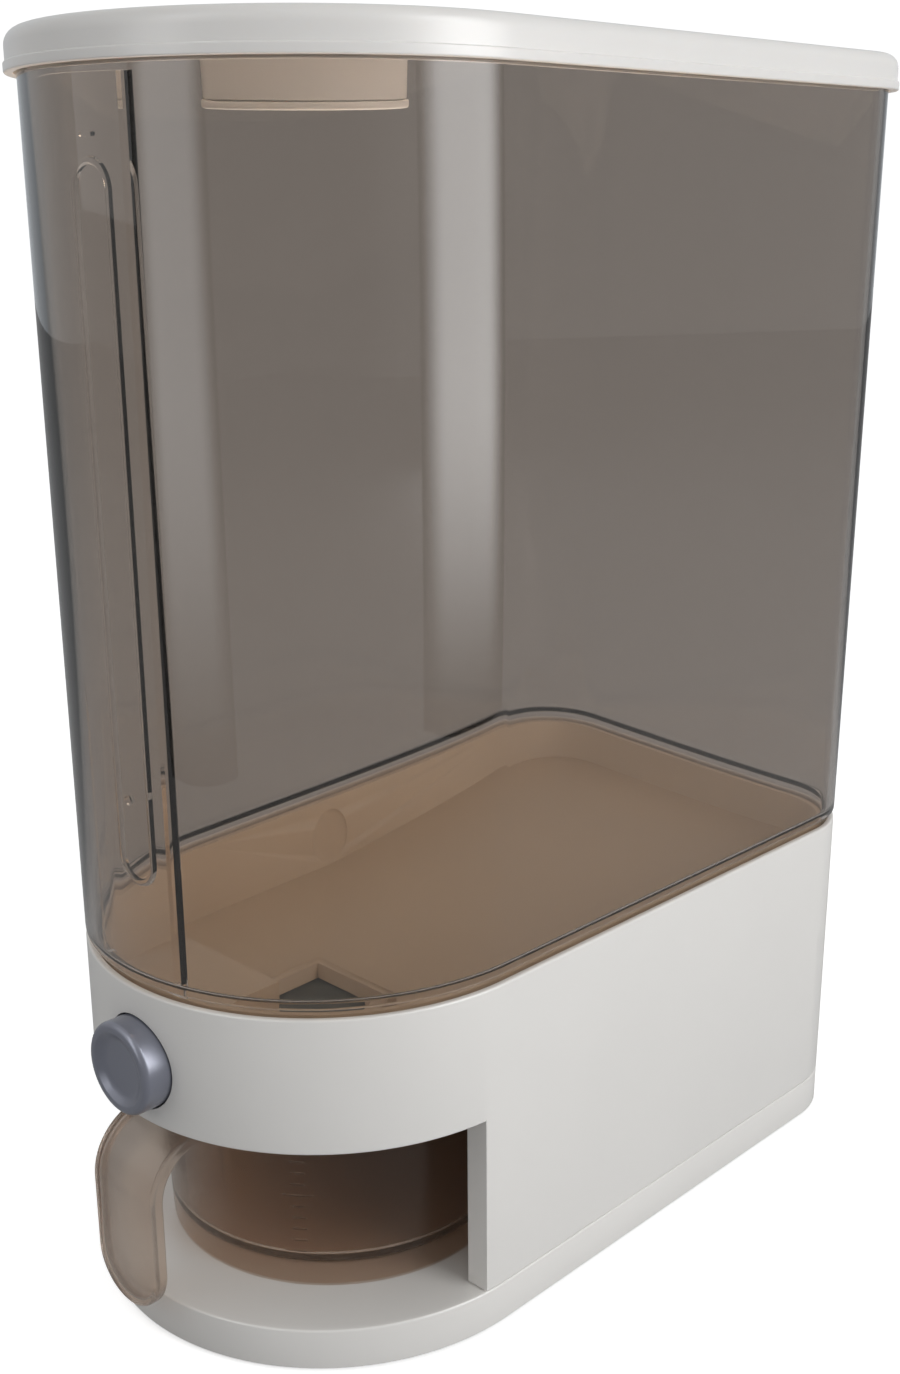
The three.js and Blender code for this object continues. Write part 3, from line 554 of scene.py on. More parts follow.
def looks(name):
    """The material of a slot, made the first time it is asked for."""
    found = bpy.data.materials.get(name)
    if found:
        return found
    c = bpy.context.scene.dispenser_looks
    makers = {
        "base_white": lambda n: moulded(n, c.white, c.gloss, coat=0.1),
        "lid_white": lambda n: moulded(n, c.lid_white, c.gloss * 1.05, coat=0.1, glow=0.12),
        "funnel_cream": lambda n: moulded(n, c.cream, 0.42),
        "tank_smoke": lambda n: clear_plastic(n, c.smoke, 0.02),
        "channel_smoke": lambda n: clear_plastic(n, c.channel_smoke, 0.03, 1.22),
        "cup_smoke": lambda n: clear_plastic(n, c.cup_smoke, 0.24, 1.36),
        "button_grey": lambda n: moulded(n, c.button_grey, 0.33, metallic=0.5, patch=40, coat=0.25),
        "gate_slate": lambda n: moulded(n, c.slate, 0.45),
        "foot_rubber": lambda n: moulded(n, (0.03, 0.03, 0.032), 0.75, grain=0.00006),
        "seal_silicone": lambda n: moulded(n, (0.62, 0.6, 0.56), 0.5, glow=0.2),
        "bright_steel": lambda n: metal(n, (0.6, 0.6, 0.61), 0.25),
        "sachet_paper": lambda n: moulded(n, (0.8, 0.79, 0.76), 0.85, grain=0.0002),
    }
    return makers[name](name)


# ---------------------------------------------------------------- drafts and plans

def base_plan():
    """Plan and draft of the base: functions of the inset and of a point."""
    s = bpy.context.scene.dispenser_shell
    high = span("base_shell")[1]
    half, back = high.x, high.y
    corner, drop = s.corner / MM, s.back_draft / MM

    def outline(inset):
        return plan_outline(half, back, corner, inset, s.segments)

    def lean(x, y, z):
        return (x, y * (1 - drop / back * (1 - z / high.z)) if y > 0 else y, z)

    return outline, lean


def tank_plan():
    """Plan and draft of the tank."""
    s, t = bpy.context.scene.dispenser_shell, bpy.context.scene.dispenser_tank
    high = span("base_shell")[1]
    half, back, corner = high.x, high.y, s.corner / MM
    side, rear = t.side_draft / MM, t.back_draft / MM
    foot, top = t.seat / MM, t.lip_level / MM

    def outline(inset):
        return plan_outline(half, back, corner, inset, s.segments)

    def lean(x, y, z):
        rise = max(0, z - foot) / (top - foot)
        wider = 1 + side / half * rise
        return (x * wider, y * (1 + rear / back * rise if y > 0 else wider), z)

    return outline, lean


def lid_plan():
    """Plan of the lid: the tank's plan at the height of the lid's lip."""
    s, t = bpy.context.scene.dispenser_shell, bpy.context.scene.dispenser_tank
    high = span("base_shell")[1]
    half, back = high.x + t.side_draft / MM, high.y + t.back_draft / MM

    def outline(inset):
        return plan_outline(half, back, (s.corner + t.side_draft) / MM, inset, s.segments)

    return outline


# ---------------------------------------------------------------- pieces

class DISPENSER_OT_stage(bpy.types.Operator):
    """Sets the camera, the floor and the soft light"""

    bl_idname = "dispenser.stage"
    bl_label = "Stage"

    def execute(self, context):
        self.camera(context)
        self.floor()
        self.room(context)
        self.lamps(context)
        self.card("right_card", 14, 0.62, 0.46, 1.1, 6.0)
        self.card("front_card", -92, 0.62, 0.30, 1.1, 2.6)
        return {"FINISHED"}

    def camera(self, context):
        yaw, pitch, roll = (math.radians(a) for a in (43.727, 16.412, -0.343))
        ahead = Vector((-math.sin(yaw) * math.cos(pitch), math.cos(yaw) * math.cos(pitch), -math.sin(pitch)))
        level = Vector((math.cos(yaw), math.sin(yaw), 0))
        above = level.cross(ahead)
        right = level * math.cos(roll) + above * math.sin(roll)
        up = above * math.cos(roll) - level * math.sin(roll)
        data = bpy.data.cameras.new("camera")
        data.lens = 44.043
        data.shift_x, data.shift_y = -0.01583, 0.00255
        eye = bpy.data.objects.new("camera", data)
        turn = Matrix((right, up, -ahead)).transposed().to_4x4()
        eye.matrix_world = Matrix.Translation((0.4292, -0.4425, 0.3806)) @ turn
        context.scene.collection.objects.link(eye)
        context.scene.camera = eye

    def floor(self):
        mesh = bpy.data.meshes.new("floor")
        reach = 6.0
        mesh.from_pydata([(-reach, -reach, 0), (reach, -reach, 0), (reach, reach, 0), (-reach, reach, 0)],
                         [], [(0, 1, 2, 3)])
        floor = bpy.data.objects.new("floor", mesh)
        bpy.context.scene.collection.objects.link(floor)
        material, tree, out = new_material("floor_white")
        shader = node(tree, "ShaderNodeBsdfPrincipled", Roughness=0.9)
        shader.inputs["Base Color"].default_value = (0.86, 0.86, 0.86, 1)
        shader.inputs["Specular IOR Level"].default_value = 0.1
        shader.inputs["Emission Color"].default_value = (1, 1, 1, 1)
        shader.inputs["Emission Strength"].default_value = 0.6
        dim = node(tree, "ShaderNodeBsdfDiffuse", Color=(0.475, 0.48, 0.49, 1))
        seen = node(tree, "ShaderNodeLightPath").outputs["Is Camera Ray"]
        mix = node(tree, "ShaderNodeMixShader", I0=seen, I1=dim.outputs[0], I2=shader.outputs[0])
        tree.links.new(mix.outputs[0], out.inputs[0])
        mesh.materials.append(material)

    def room(self, context):
        """A soft room: brightness by direction round the object and overhead, white where seen directly."""
        world = bpy.data.worlds.new("studio")
        context.scene.world = world
        world.use_nodes = True
        tree = world.node_tree
        tree.nodes.clear()
        place = node(tree, "ShaderNodeTexCoord").outputs["Generated"]
        around = node(tree, "ShaderNodeTexGradient", _gradient_type="RADIAL", Vector=place).outputs["Fac"]
        ramp = node(tree, "ShaderNodeValToRGB", Fac=around)
        ramp.color_ramp.interpolation = "EASE"
        self.bands(ramp.color_ramp)
        height = node(tree, "ShaderNodeSeparateXYZ", Vector=place).outputs[2]
        overhead = node(tree, "ShaderNodeMapRange", _interpolation_type="SMOOTHSTEP", Value=height,
                        From_Min=0.45, From_Max=0.95, To_Min=0, To_Max=1).outputs[0]
        mix = node(tree, "ShaderNodeMix", _data_type="RGBA")
        tree.links.new(overhead, mix.inputs[0])
        tree.links.new(ramp.outputs[0], mix.inputs[6])
        mix.inputs[7].default_value = (0.62, 0.62, 0.61, 1)
        back = node(tree, "ShaderNodeBackground", Strength=1.0)
        tree.links.new(mix.outputs[2], back.inputs[0])
        white = node(tree, "ShaderNodeBackground", Color=(1, 1, 1, 1), Strength=1.05)
        seen = node(tree, "ShaderNodeLightPath").outputs["Is Camera Ray"]
        studio = node(tree, "ShaderNodeMixShader", I0=seen, I1=back.outputs[0], I2=white.outputs[0])
        out = tree.nodes.new("ShaderNodeOutputWorld")
        tree.links.new(studio.outputs[0], out.inputs[0])

    def bands(self, ramp):
        """Brightness round the room, from -X over the front (-Y) to +X and on over the back."""
        stops = [
            (0.00, 0.60), (0.10, 0.46), (0.20, 0.38), (0.44, 0.34), (0.49, 0.50), (0.60, 0.50),
            (0.66, 0.42), (0.72, 0.50), (0.80, 0.60), (0.94, 0.60), (1.00, 0.60),
        ]
        while len(ramp.elements) > 1:
            ramp.elements.remove(ramp.elements[-1])
        ramp.elements[0].position = stops[0][0]
        ramp.elements[0].color = (stops[0][1],) * 3 + (1,)
        for place, bright in stops[1:]:
            cool = 1.05 if place > 0.75 else 1.0
            ramp.elements.new(place).color = (bright / cool, bright, bright * cool, 1)

    def card(self, name, azimuth, distance, width, tall, bright):
        """A tall glowing card with soft sides that only shows as a band of light in glossy walls."""
        half = width / 2
        mesh = bpy.data.meshes.new(name)
        mesh.from_pydata([(-half, 0, 0), (half, 0, 0), (half, 0, tall), (-half, 0, tall)], [], [(0, 1, 2, 3)])
        card = bpy.data.objects.new(name, mesh)
        bpy.context.scene.collection.objects.link(card)
        turn = math.radians(azimuth)
        place = Matrix.Translation((distance * math.cos(turn), distance * math.sin(turn), 0))
        card.matrix_world = place @ Matrix.Rotation(turn + math.pi / 2, 4, "Z")
        material, tree, out = new_material(name)
        place = node(tree, "ShaderNodeTexCoord").outputs["Object"]
        parts = node(tree, "ShaderNodeSeparateXYZ", Vector=place).outputs
        across = sum_of(tree, "ABSOLUTE", parts[0])
        rise = node(tree, "ShaderNodeMapRange", _interpolation_type="SMOOTHSTEP", Value=parts[2],
                    From_Min=0, From_Max=0.3, To_Min=0, To_Max=1).outputs[0]
        glow = node(tree, "ShaderNodeMapRange", _interpolation_type="SMOOTHSTEP", Value=across,
                    From_Min=half, From_Max=half * 0.45, To_Min=0, To_Max=bright).outputs[0]
        light = node(tree, "ShaderNodeEmission", Strength=sum_of(tree, "MULTIPLY", glow, rise))
        tree.links.new(light.outputs[0], out.inputs[0])
        mesh.materials.append(material)
        card.visible_camera = card.visible_diffuse = False
        card.visible_transmission = card.visible_shadow = False

    def lamps(self, context):
        """Two large soft boxes, and a weak one that lifts the underside of the lid."""
        for name, where, aim, size, power, tone in (
            ("key", Vector((2.1, 0.3, 0.75)), Vector((0, 0, 0.2)), 1.0, 23.0, (1, 1, 1)),
            ("fill", Vector((-0.9, -1.6, 1.2)), Vector((0, 0, 0.2)), 1.6, 4.0, (1, 1, 1)),
            ("inner", Vector((0, -0.02, 0.2)), Vector((0, -0.02, 0.43)), 0.11, 0.75, (1, 0.88, 0.76)),
        ):
            data = bpy.data.lights.new(name, "AREA")
            data.shape = "SQUARE"
            data.size = size
            data.energy = power
            data.color = tone
            lamp = bpy.data.objects.new(name, data)
            lamp.location = where
            lamp.rotation_euler = (aim - where).to_track_quat("-Z", "Y").to_euler()
            lamp.visible_camera = False
            lamp.visible_glossy = name == "fill"
            lamp.visible_transmission = False
            context.scene.collection.objects.link(lamp)


class DISPENSER_OT_base(bpy.types.Operator):
    """Moulds the white base with its cup niche, niche ceiling and button sleeve"""

    bl_idname = "dispenser.base"
    bl_label = "Base shell"

    def execute(self, context):
        s = context.scene.dispenser_shell
        low, high = span("base_shell")
        bottom, top = low.z, high.z
        outline, lean = base_plan()
        wall, soft, skirt = s.wall / MM, s.rim_round / MM, s.skirt_bottom / MM
        upper = shell("base_shell_finished", outline, rounded_path([
            (0, skirt, soft), (wall, skirt, soft), (wall, top, soft), (0, top, soft)], 4), lean)
        ceiling_top = skirt + s.ceiling / MM
        join(upper, self.lower(s, outline, lean, bottom, skirt + 2),
             self.ceiling(s, outline, skirt, ceiling_top), self.sleeve(s, outline, high.x))
        cut(upper, *self.bores(s, high.x))
        finished(upper, "base", "base_plastic", looks("base_white"), "base_shell")
        return {"FINISHED"}

    def lower(self, s, outline, lean, bottom, top):
        """Walls below the skirt: the outside, the niche behind the cup and the two end faces."""
        wall, niche, front = s.wall / MM, s.niche_half / MM, -s.niche_front / MM
        thick, edge = s.niche_wall / MM, s.seam_round / MM
        body = shell("walls", outline, rounded_path([
            (0, bottom, edge), (DEEP_INSET, bottom, 0), (DEEP_INSET, top, 0), (0, top, 0)], 3), lean)
        core = prism("core", outline(DEEP_INSET - 1), bottom, top)
        join(body, core)
        cut(body, block(-FAR, FAR, -FAR, front, 0, FAR))
        niche_plan = [(-niche, front - 5), (niche, front - 5)] + arc(0, 0, niche, 0, 180, 64)
        cut(body, prism("niche", niche_plan, 0, FAR))
        behind = arc(0, 0, niche + thick, 0, 180, 64)
        cavity = prism("cavity", outline(wall), bottom - 5, FAR)
        cut(cavity, block(-FAR, FAR, -FAR, front + thick, 0, FAR))
        cut(cavity, prism("keep", [(-niche - thick, front), (niche + thick, front)] + behind, 0, FAR))
        cavity.data.transform(Matrix.Diagonal((1, DRAWN_IN, 1, 1)))
        return cut(body, cavity)

    def ceiling(self, s, outline, skirt, top):
        """Flat ceiling over the cup."""
        plate = prism("ceiling", outline(s.wall / MM / 2), skirt + 0.4, top)
        return keep(plate, block(-FAR, FAR, -FAR, s.niche_half / MM, 0, FAR))

    def sleeve(self, s, outline, half):
        """Sleeve that guides the button."""
        bore = span("button_cap")[1].x + s.button_gap / MM
        back = -half + (s.wall + s.sleeve_length) / MM
        circle = arc(0, s.button_height / MM, bore + s.sleeve_wall / MM, 0, 360, 64)[:-1]
        tube = prism("sleeve", circle, -half + 1, back, "Y")
        return keep(tube, prism("inside", outline(s.wall / MM / 2), 0, FAR))

    def bores(self, s, half):
        """Bore of the button, the rod's hole and the outlet's slot."""
        bore = span("button_cap")[1].x + s.button_gap / MM
        rod = span("button_stem")[1].x + ROD_PLAY
        height = s.button_height / MM
        back = -half + (s.wall + s.sleeve_length) / MM
        mouth = prism("bore", arc(0, height, bore, 0, 360, 96)[:-1], -FAR, back - 2, "Y")
        hole = prism("hole", arc(0, height, rod, 0, 360, 32)[:-1], -FAR, DEEP_INSET / 2 - half, "Y")
        ceiling_top = (s.skirt_bottom + s.ceiling) / MM
        slot = block(-CHUTE_SIDE, CHUTE_SIDE, CHUTE_FRONT, CHUTE_BACK, 0, ceiling_top + 1)
        return [mouth, hole, slot]


class DISPENSER_OT_plate(bpy.types.Operator):
    """Moulds the bottom plate with its ribs, foot pads and screw holes"""

    bl_idname = "dispenser.plate"
    bl_label = "Bottom plate"

    def execute(self, context):
        s = context.scene.dispenser_shell
        low, high = span("base_plate")
        outline, lean = base_plan()
        wall, soft = s.wall / MM, s.seam_round / MM
        under = high.z - s.plate_skin / MM
        plate = shell("base_plate_finished", outline, rounded_path([
            (wall, under, 0), (wall, low.z, soft / 2), (0, low.z, soft), (0, high.z, soft * 1.6),
            (wall, high.z, 0)], 4, closed=False), lean, closed=False)
        inner = shell("inner", outline, [(wall / 2, 0), (wall / 2, under + 1)], lean, closed=False)
        ribs = mesh_object("ribs", [], [])
        material = looks("base_white")
        grow(ribs, self.rib_tree(material), Ribs=5, Pitch=s.rib_pitch / MM, Thickness=s.rib_thickness / MM,
             Low=low.z + 2, High=under + 1)
        join(plate, keep(ribs, inner))
        feet = [span(n) for n in sorted(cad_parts) if n.startswith("foot_")]
        screws = [span(n) for n in sorted(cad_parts) if n.startswith("plate_screw_")]
        for a, b in feet:
            middle, radius = (a + b) / 2, (b - a).x / 2
            pad = prism("pad", arc(middle.x, middle.y, radius + 2, 0, 360, 48)[:-1], low.z, under + 1)
            hole = prism("hole", arc(middle.x, middle.y, radius + 0.3, 0, 360, 48)[:-1], 0, b.z + 0.3)
            cut(join(plate, pad), hole)
        for a, b in screws:
            middle, radius = (a + b) / 2, (b - a).x / 2
            shank = prism("shank", arc(middle.x, middle.y, radius * 0.56, 0, 360, 24)[:-1], 0, FAR)
            head = prism("head", arc(middle.x, middle.y, radius + 0.6, 0, 360, 32)[:-1], 0, under)
            cut(plate, shank, head)
        finished(plate, "base", "base_plastic", material, "base_plate")
        return {"FINISHED"}

    def rib_tree(self, material):
        """A row of flat ribs across the plate."""
        tree, given, out = node_tree("rib_row", Ribs=5, Pitch=50.0, Thickness=2.0, Low=3.0, High=14.0)
        tall = sum_of(tree, "SUBTRACT", given["High"], given["Low"])
        size = node(tree, "ShaderNodeCombineXYZ", X=FAR, Y=given["Thickness"], Z=tall)
        middle = sum_of(tree, "MULTIPLY", sum_of(tree, "ADD", given["High"], given["Low"]), 0.5)
        start = node(tree, "ShaderNodeCombineXYZ", Y=sum_of(tree, "MULTIPLY", given["Pitch"], -1.0), Z=middle)
        step = node(tree, "ShaderNodeCombineXYZ", Y=given["Pitch"])
        row = node(tree, "GeometryNodeMeshLine", Count=given["Ribs"], Start_Location=start.outputs[0],
                   Offset=step.outputs[0])
        rib = node(tree, "GeometryNodeMeshCube", Size=size.outputs[0])
        set_out = node(tree, "GeometryNodeInstanceOnPoints", Points=row.outputs[0], Instance=rib.outputs[0])
        close_tree(tree, set_out.outputs[0], out, material)
        return tree


def scatter_tree(name, pattern, material):
    """Puts a pattern object on every point of a mesh."""
    tree, given, out = node_tree(name, Size=1.0)
    shape = node(tree, "GeometryNodeObjectInfo", Object=pattern)
    placed = node(tree, "GeometryNodeInstanceOnPoints", Points=given["Geometry"],
                  Instance=shape.outputs["Geometry"], Scale=given["Size"])
    close_tree(tree, placed.outputs[0], out, material)
    return tree


def scattered(name, pattern, places, body, slot, material, nodes):
    """One mesh with a copy of the pattern at each place; the pattern is used up."""
    carrier = bpy.data.objects.new(name, bpy.data.meshes.new(name))
    carrier.data.from_pydata([tuple(p) for p in places], [], [])
    bpy.context.scene.collection.objects.link(carrier)
    grow(carrier, scatter_tree(name + "_places", pattern, material), Size=1.0)
    bpy.data.objects.remove(pattern)
    return finished(carrier, body, slot, material, *nodes)


def screw_pattern(head, rise, shank, reach):
    """Pan-head screw with a cross recess and a coarse thread, head downwards, seat at height 0."""
    pitch, depth = 1.3, 0.32
    turns = int((reach - 2) / pitch)
    path = [(0, -rise, 0), (head * 0.6, -rise, 0.5), (head, -rise * 0.35, 0.4), (head, 0, 0), (shank, 0, 0)]
    for i in range(turns):
        path += [(shank - depth, 0.9 + pitch * i, 0), (shank, 0.9 + pitch * (i + 0.5), 0)]
    path += [(shank - depth, reach - 1.2, 0), (0, reach, 0)]
    screw = spun("screw_pattern", rounded_path(path, 3, closed=False), steps=28)
    arm, slot = head * 0.55, head * 0.13
    for a, b in ((arm, slot), (slot, arm)):
        cut(screw, block(-a, a, -b, b, -rise - 1, -rise * 0.45))
    return screw


class DISPENSER_OT_fixings(bpy.types.Operator):
    """Sets the rubber feet and the screws on their places"""

    bl_idname = "dispenser.fixings"
    bl_label = "Feet and screws"

    def execute(self, context):
        self.feet()
        self.screws("plate_screw_", "plate_screws")
        self.screws("guide_screw_", "guide_screws")
        dressed("stem_screw", looks("bright_steel"))
        return {"FINISHED"}

    def named(self, start):
        return sorted(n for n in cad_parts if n.startswith(start))

    def feet(self):
        names = self.named("foot_")
        low, high = span(names[0])
        radius, tall = (high - low).x / 2, (high - low).z
        foot = spun("foot_pattern", rounded_path([
            (0, 0.35, 0), (radius * 0.55, 0.35, 0.2), (radius * 0.62, 0, 0.2), (radius - 0.2, 0, 0.7),
            (radius, tall, 0.2), (0, tall, 0)], 4, closed=False), steps=48)
        places = [self.foot_place(n) for n in names]
        scattered("rubber_feet", foot, places, "base", "foot_rubber", looks("foot_rubber"), names)

    def foot_place(self, name):
        low, high = span(name)
        return ((low.x + high.x) / 2, (low.y + high.y) / 2, low.z)

    def screws(self, start, name):
        names = self.named(start)
        low, high = span(names[0])
        head, rise = (high - low).x / 2, 2.0
        pattern = screw_pattern(head, rise, head * 0.41, (high - low).z - rise)
        places = []
        for n in names:
            a, b = span(n)
            places.append(((a.x + b.x) / 2, (a.y + b.y) / 2, a.z + rise))
        scattered(name, pattern, places, "base", "steel", looks("bright_steel"), names)


class DISPENSER_OT_hopper(bpy.types.Operator):
    """Finishes the funnel, the gate guide and the neck seal"""

    bl_idname = "dispenser.hopper"
    bl_label = "Funnel and guide"

    def execute(self, context):
        cream = looks("funnel_cream")
        finished(frame_copy("hopper_funnel", "hopper_funnel_finished", 0.5), "base", "funnel_plastic", cream,
                 "hopper_funnel")
        finished(frame_copy("gate_guide", "gate_guide_finished", 0.25), "base", "funnel_plastic", cream,
                 "gate_guide")
        low, high = span("neck_seal")
        t = context.scene.dispenser_tank
        outer = t.neck_inset / MM + 0.1
        inner = (t.neck_inset + t.neck_wall) / MM
        outline = base_plan()[0]
        seal = shell("neck_seal_finished", outline, rounded_path([
            (outer, low.z, 0.5), (inner, low.z, 0.5), (inner, high.z, 0.5), (outer, high.z, 0.5)], 4))
        finished(seal, "base", "silicone", looks("seal_silicone"), "neck_seal")
        return {"FINISHED"}


class DISPENSER_OT_slider(bpy.types.Operator):
    """Finishes the button, its rod, the gate and the spring"""

    bl_idname = "dispenser.slider"
    bl_label = "Button and gate"

    def execute(self, context):
        slate = looks("gate_slate")
        finished(frame_copy("gate_slider", "gate_slider_finished", 0.3), "push_slider", "gate_plastic",
                 slate, "gate_slider")
        self.button()
        self.rod(slate)
        self.spring(looks("bright_steel"))
        return {"FINISHED"}

    def along(self, obj, z, y):
        """Turns an upright piece to point along +Y, on the button's axis."""
        obj.data.transform(Matrix.Translation((0, y, z)) @ Matrix.Rotation(-math.pi / 2, 4, "X"))
        return obj

    def button(self):
        low, high = span("button_cap")
        radius, length = high.x, high.y - low.y
        skin, dish, hub = 2.2, 2.6, span("button_stem")[1].x + 0.3
        floor = dish + skin
        path = rounded_path([
            (0, dish, 0), (radius * 0.60, dish * 0.86, 6), (radius * 0.80, 0, 1.6), (radius, 0, 2.2),
            (radius, length, 0.3), (radius - skin, length, 0.3), (radius - skin, floor, 1),
            (hub + 1.7, floor, 0.5), (hub + 1.7, floor + 7, 0.3), (hub, floor + 7, 0.3),
            (hub, floor, 0), (0, floor, 0),
        ], 8, closed=False)
        cap = self.along(spun("button_cap_finished", path, steps=128), (low.z + high.z) / 2, low.y)
        finished(cap, "push_slider", "button_plastic", looks("button_grey"), "button_cap")

    def rod(self, slate):
        low, high = span("button_stem")
        radius, length = high.x, high.y - low.y
        path = rounded_path([
            (0, 0, 0), (radius, 0, 0.6), (radius, length, 0.3), (radius / 3, length, 0),
            (radius / 3, length - 14, 0), (0, length - 14, 0)], 4, closed=False)
        rod = self.along(spun("button_stem_finished", path, steps=64), (low.z + high.z) / 2, low.y)
        finished(rod, "push_slider", "gate_plastic", slate, "button_stem")

    def spring(self, material):
        low, high = span("return_spring")
        wire = 0.7
        coil = mesh_object("return_spring_finished", [], [])
        grow(coil, self.spring_tree(material), Radius=high.x - wire,
             Length=high.y - low.y - 2 * wire, Turns=5.5, Wire=wire)
        self.along(coil, (low.z + high.z) / 2, low.y + wire)
        finished(coil, "base", "steel", material, "return_spring", angle=80)
        self.give(coil)

    def give(self, coil):
        """Gives the spring its own copy of its mesh."""
        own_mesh(coil)

    def spring_tree(self, material):
        """A wire wound round an axis, its ends closed."""
        tree, given, out = node_tree("wound_wire", Radius=8.0, Length=12.0, Turns=5.5, Wire=0.7)
        helix = node(tree, "GeometryNodeCurveSpiral", Resolution=48, Rotations=given["Turns"],
                     Start_Radius=given["Radius"], End_Radius=given["Radius"], Height=given["Length"])
        section = node(tree, "GeometryNodeCurvePrimitiveCircle", Resolution=12, Radius=given["Wire"])
        tube = node(tree, "GeometryNodeCurveToMesh", Curve=helix.outputs[0], Profile_Curve=section.outputs[0])
        tube.inputs["Fill Caps"].default_value = True
        close_tree(tree, tube.outputs[0], out, material)
        return tree


class DISPENSER_OT_cup(bpy.types.Operator):
    """Moulds the clear measuring cup, its hooked handle and its graduation lines"""

    bl_idname = "dispenser.cup"
    bl_label = "Measuring cup"

    def execute(self, context):
        c = context.scene.dispenser_cup
        low, high = span("measuring_cup")
        middle, foot, top, wall = (v / MM for v in (c.middle, c.base_radius, c.top_radius, c.wall))
        rise, lift = high.z - low.z, c.floor_lift / MM
        path = rounded_path([
            (0, lift - wall, 0), (foot - wall, lift - wall, 1.2), (foot - wall, 0, 0.5), (foot, 0, 0.7),
            (top, rise, 0.9), (top - wall, rise, 0.9), (foot - wall + 0.5, lift, 3), (0, lift, 0),
        ], 6, closed=False)
        cup = spun("measuring_cup_finished", path, steps=128)
        cup.data.transform(Matrix.Translation((0, middle, low.z)))
        hollow = spun("hollow", [
            (0, lift + 4), (foot - wall, lift + 4), (top - wall - 0.1, rise + 4), (0, rise + 4)], steps=128)
        hollow.data.transform(Matrix.Translation((0, middle, low.z)))
        join(cup, cut(self.handle(c, low, high), hollow))
        material = looks("cup_smoke")
        finished(cup, "cup", "cup_plastic", material, "measuring_cup")
        self.marks(c, low, material)
        return {"FINISHED"}

    def oval(self, half, bottom):
        return [(-half, FAR)] + arc(0, bottom + half, half, 180, 360, 40) + [(half, FAR)]

    def hook(self, c, low, high, inset):
        """Side outline (y, z) of the handle, set in from its outer face."""
        depth, bend = c.handle_depth / MM, c.handle_bend / MM - inset
        face, top = low.y + inset, high.z - inset
        root = (c.middle - c.top_radius) / MM + 1
        back = face + depth
        return [tuple(p) for p in rounded_path([
            (face, 0, 0), (face, top, bend), (root, top, 0), (root, top - depth, 0),
            (back, top - depth, bend - depth), (back, 0, 0)], 20)]

    def handle(self, c, low, high):
        half, skin, bottom = c.handle_width / MM / 2, c.handle_skin / MM, c.handle_bottom / MM
        strip = prism("handle", self.hook(c, low, high, 0), -half, half, "X")
        keep(strip, prism("outline", self.oval(half, bottom), -FAR, 0, "Y"))
        soften(clean(strip), 1.3, 4, 40)
        trough = prism("trough", self.hook(c, low, high, skin), skin - half, half - skin, "X")
        keep(trough, prism("outline", self.oval(half - skin, bottom + skin), -FAR, 0, "Y"))
        soften(clean(trough), 0.8, 3, 40)
        return cut(strip, trough)

    def marks(self, c, low, material):
        """Raised graduation lines on the wall."""
        marks = mesh_object("cup_graduations", [], [])
        grow(marks, self.mark_tree(material), Lines=c.ticks, Pitch=c.tick_pitch / MM,
             Start=low.z + FIRST_TICK, Radius=c.base_radius / MM - 0.1, Foot=low.z, Turn=TICK_TURN,
             Slope=(c.top_radius - c.base_radius) / MM / CUP_RISE)
        marks.data.transform(Matrix.Translation((0, c.middle / MM, 0)))
        finished(marks, "cup", "cup_plastic", material)

    def mark_tree(self, material):
        """A ladder of short and long lines, wrapped round a slightly conical wall."""
        tree, given, out = node_tree(
            "graduation_lines", Lines=11, Pitch=4.5, Start=30.0, Radius=63.0, Slope=0.05, Foot=16.0, Turn=0.6)
        start = node(tree, "ShaderNodeCombineXYZ", Z=given["Start"])
        step = node(tree, "ShaderNodeCombineXYZ", Z=given["Pitch"])
        ladder = node(tree, "GeometryNodeMeshLine", Count=given["Lines"], Start_Location=start.outputs[0],
                      Offset=step.outputs[0])
        line = node(tree, "GeometryNodeMeshCube", Size=(5.0, 0.5, 0.5), Vertices_X=9)
        index = node(tree, "GeometryNodeInputIndex").outputs[0]
        fifth = sum_of(tree, "LESS_THAN", sum_of(tree, "MODULO", index, 5.0), 0.5)
        wide = sum_of(tree, "ADD", sum_of(tree, "MULTIPLY", fifth, 1.2), 1.0)
        stretch = node(tree, "ShaderNodeCombineXYZ", X=wide, Y=1.0, Z=1.0)
        placed = node(tree, "GeometryNodeInstanceOnPoints", Points=ladder.outputs[0],
                      Instance=line.outputs[0], Scale=stretch.outputs[0])
        real = node(tree, "GeometryNodeRealizeInstances", Geometry=placed.outputs[0])
        place = node(tree, "GeometryNodeInputPosition").outputs[0]
        parts = node(tree, "ShaderNodeSeparateXYZ", Vector=place).outputs
        above_foot = sum_of(tree, "SUBTRACT", parts[2], given["Foot"])
        radius = sum_of(tree, "ADD", given["Radius"], sum_of(tree, "MULTIPLY", above_foot, given["Slope"]))
        reach = sum_of(tree, "SUBTRACT", radius, parts[1])
        angle = sum_of(tree, "ADD", sum_of(tree, "DIVIDE", parts[0], radius), given["Turn"])
        across = sum_of(tree, "MULTIPLY", sum_of(tree, "SINE", angle), reach)
        ahead = sum_of(tree, "MULTIPLY", sum_of(tree, "COSINE", angle), sum_of(tree, "MULTIPLY", reach, -1.0))
        bent = node(tree, "ShaderNodeCombineXYZ", X=across, Y=ahead, Z=parts[2])
        wrapped = node(tree, "GeometryNodeSetPosition", Geometry=real.outputs[0], Position=bent.outputs[0])
        close_tree(tree, wrapped.outputs[0], out, material)
        return tree


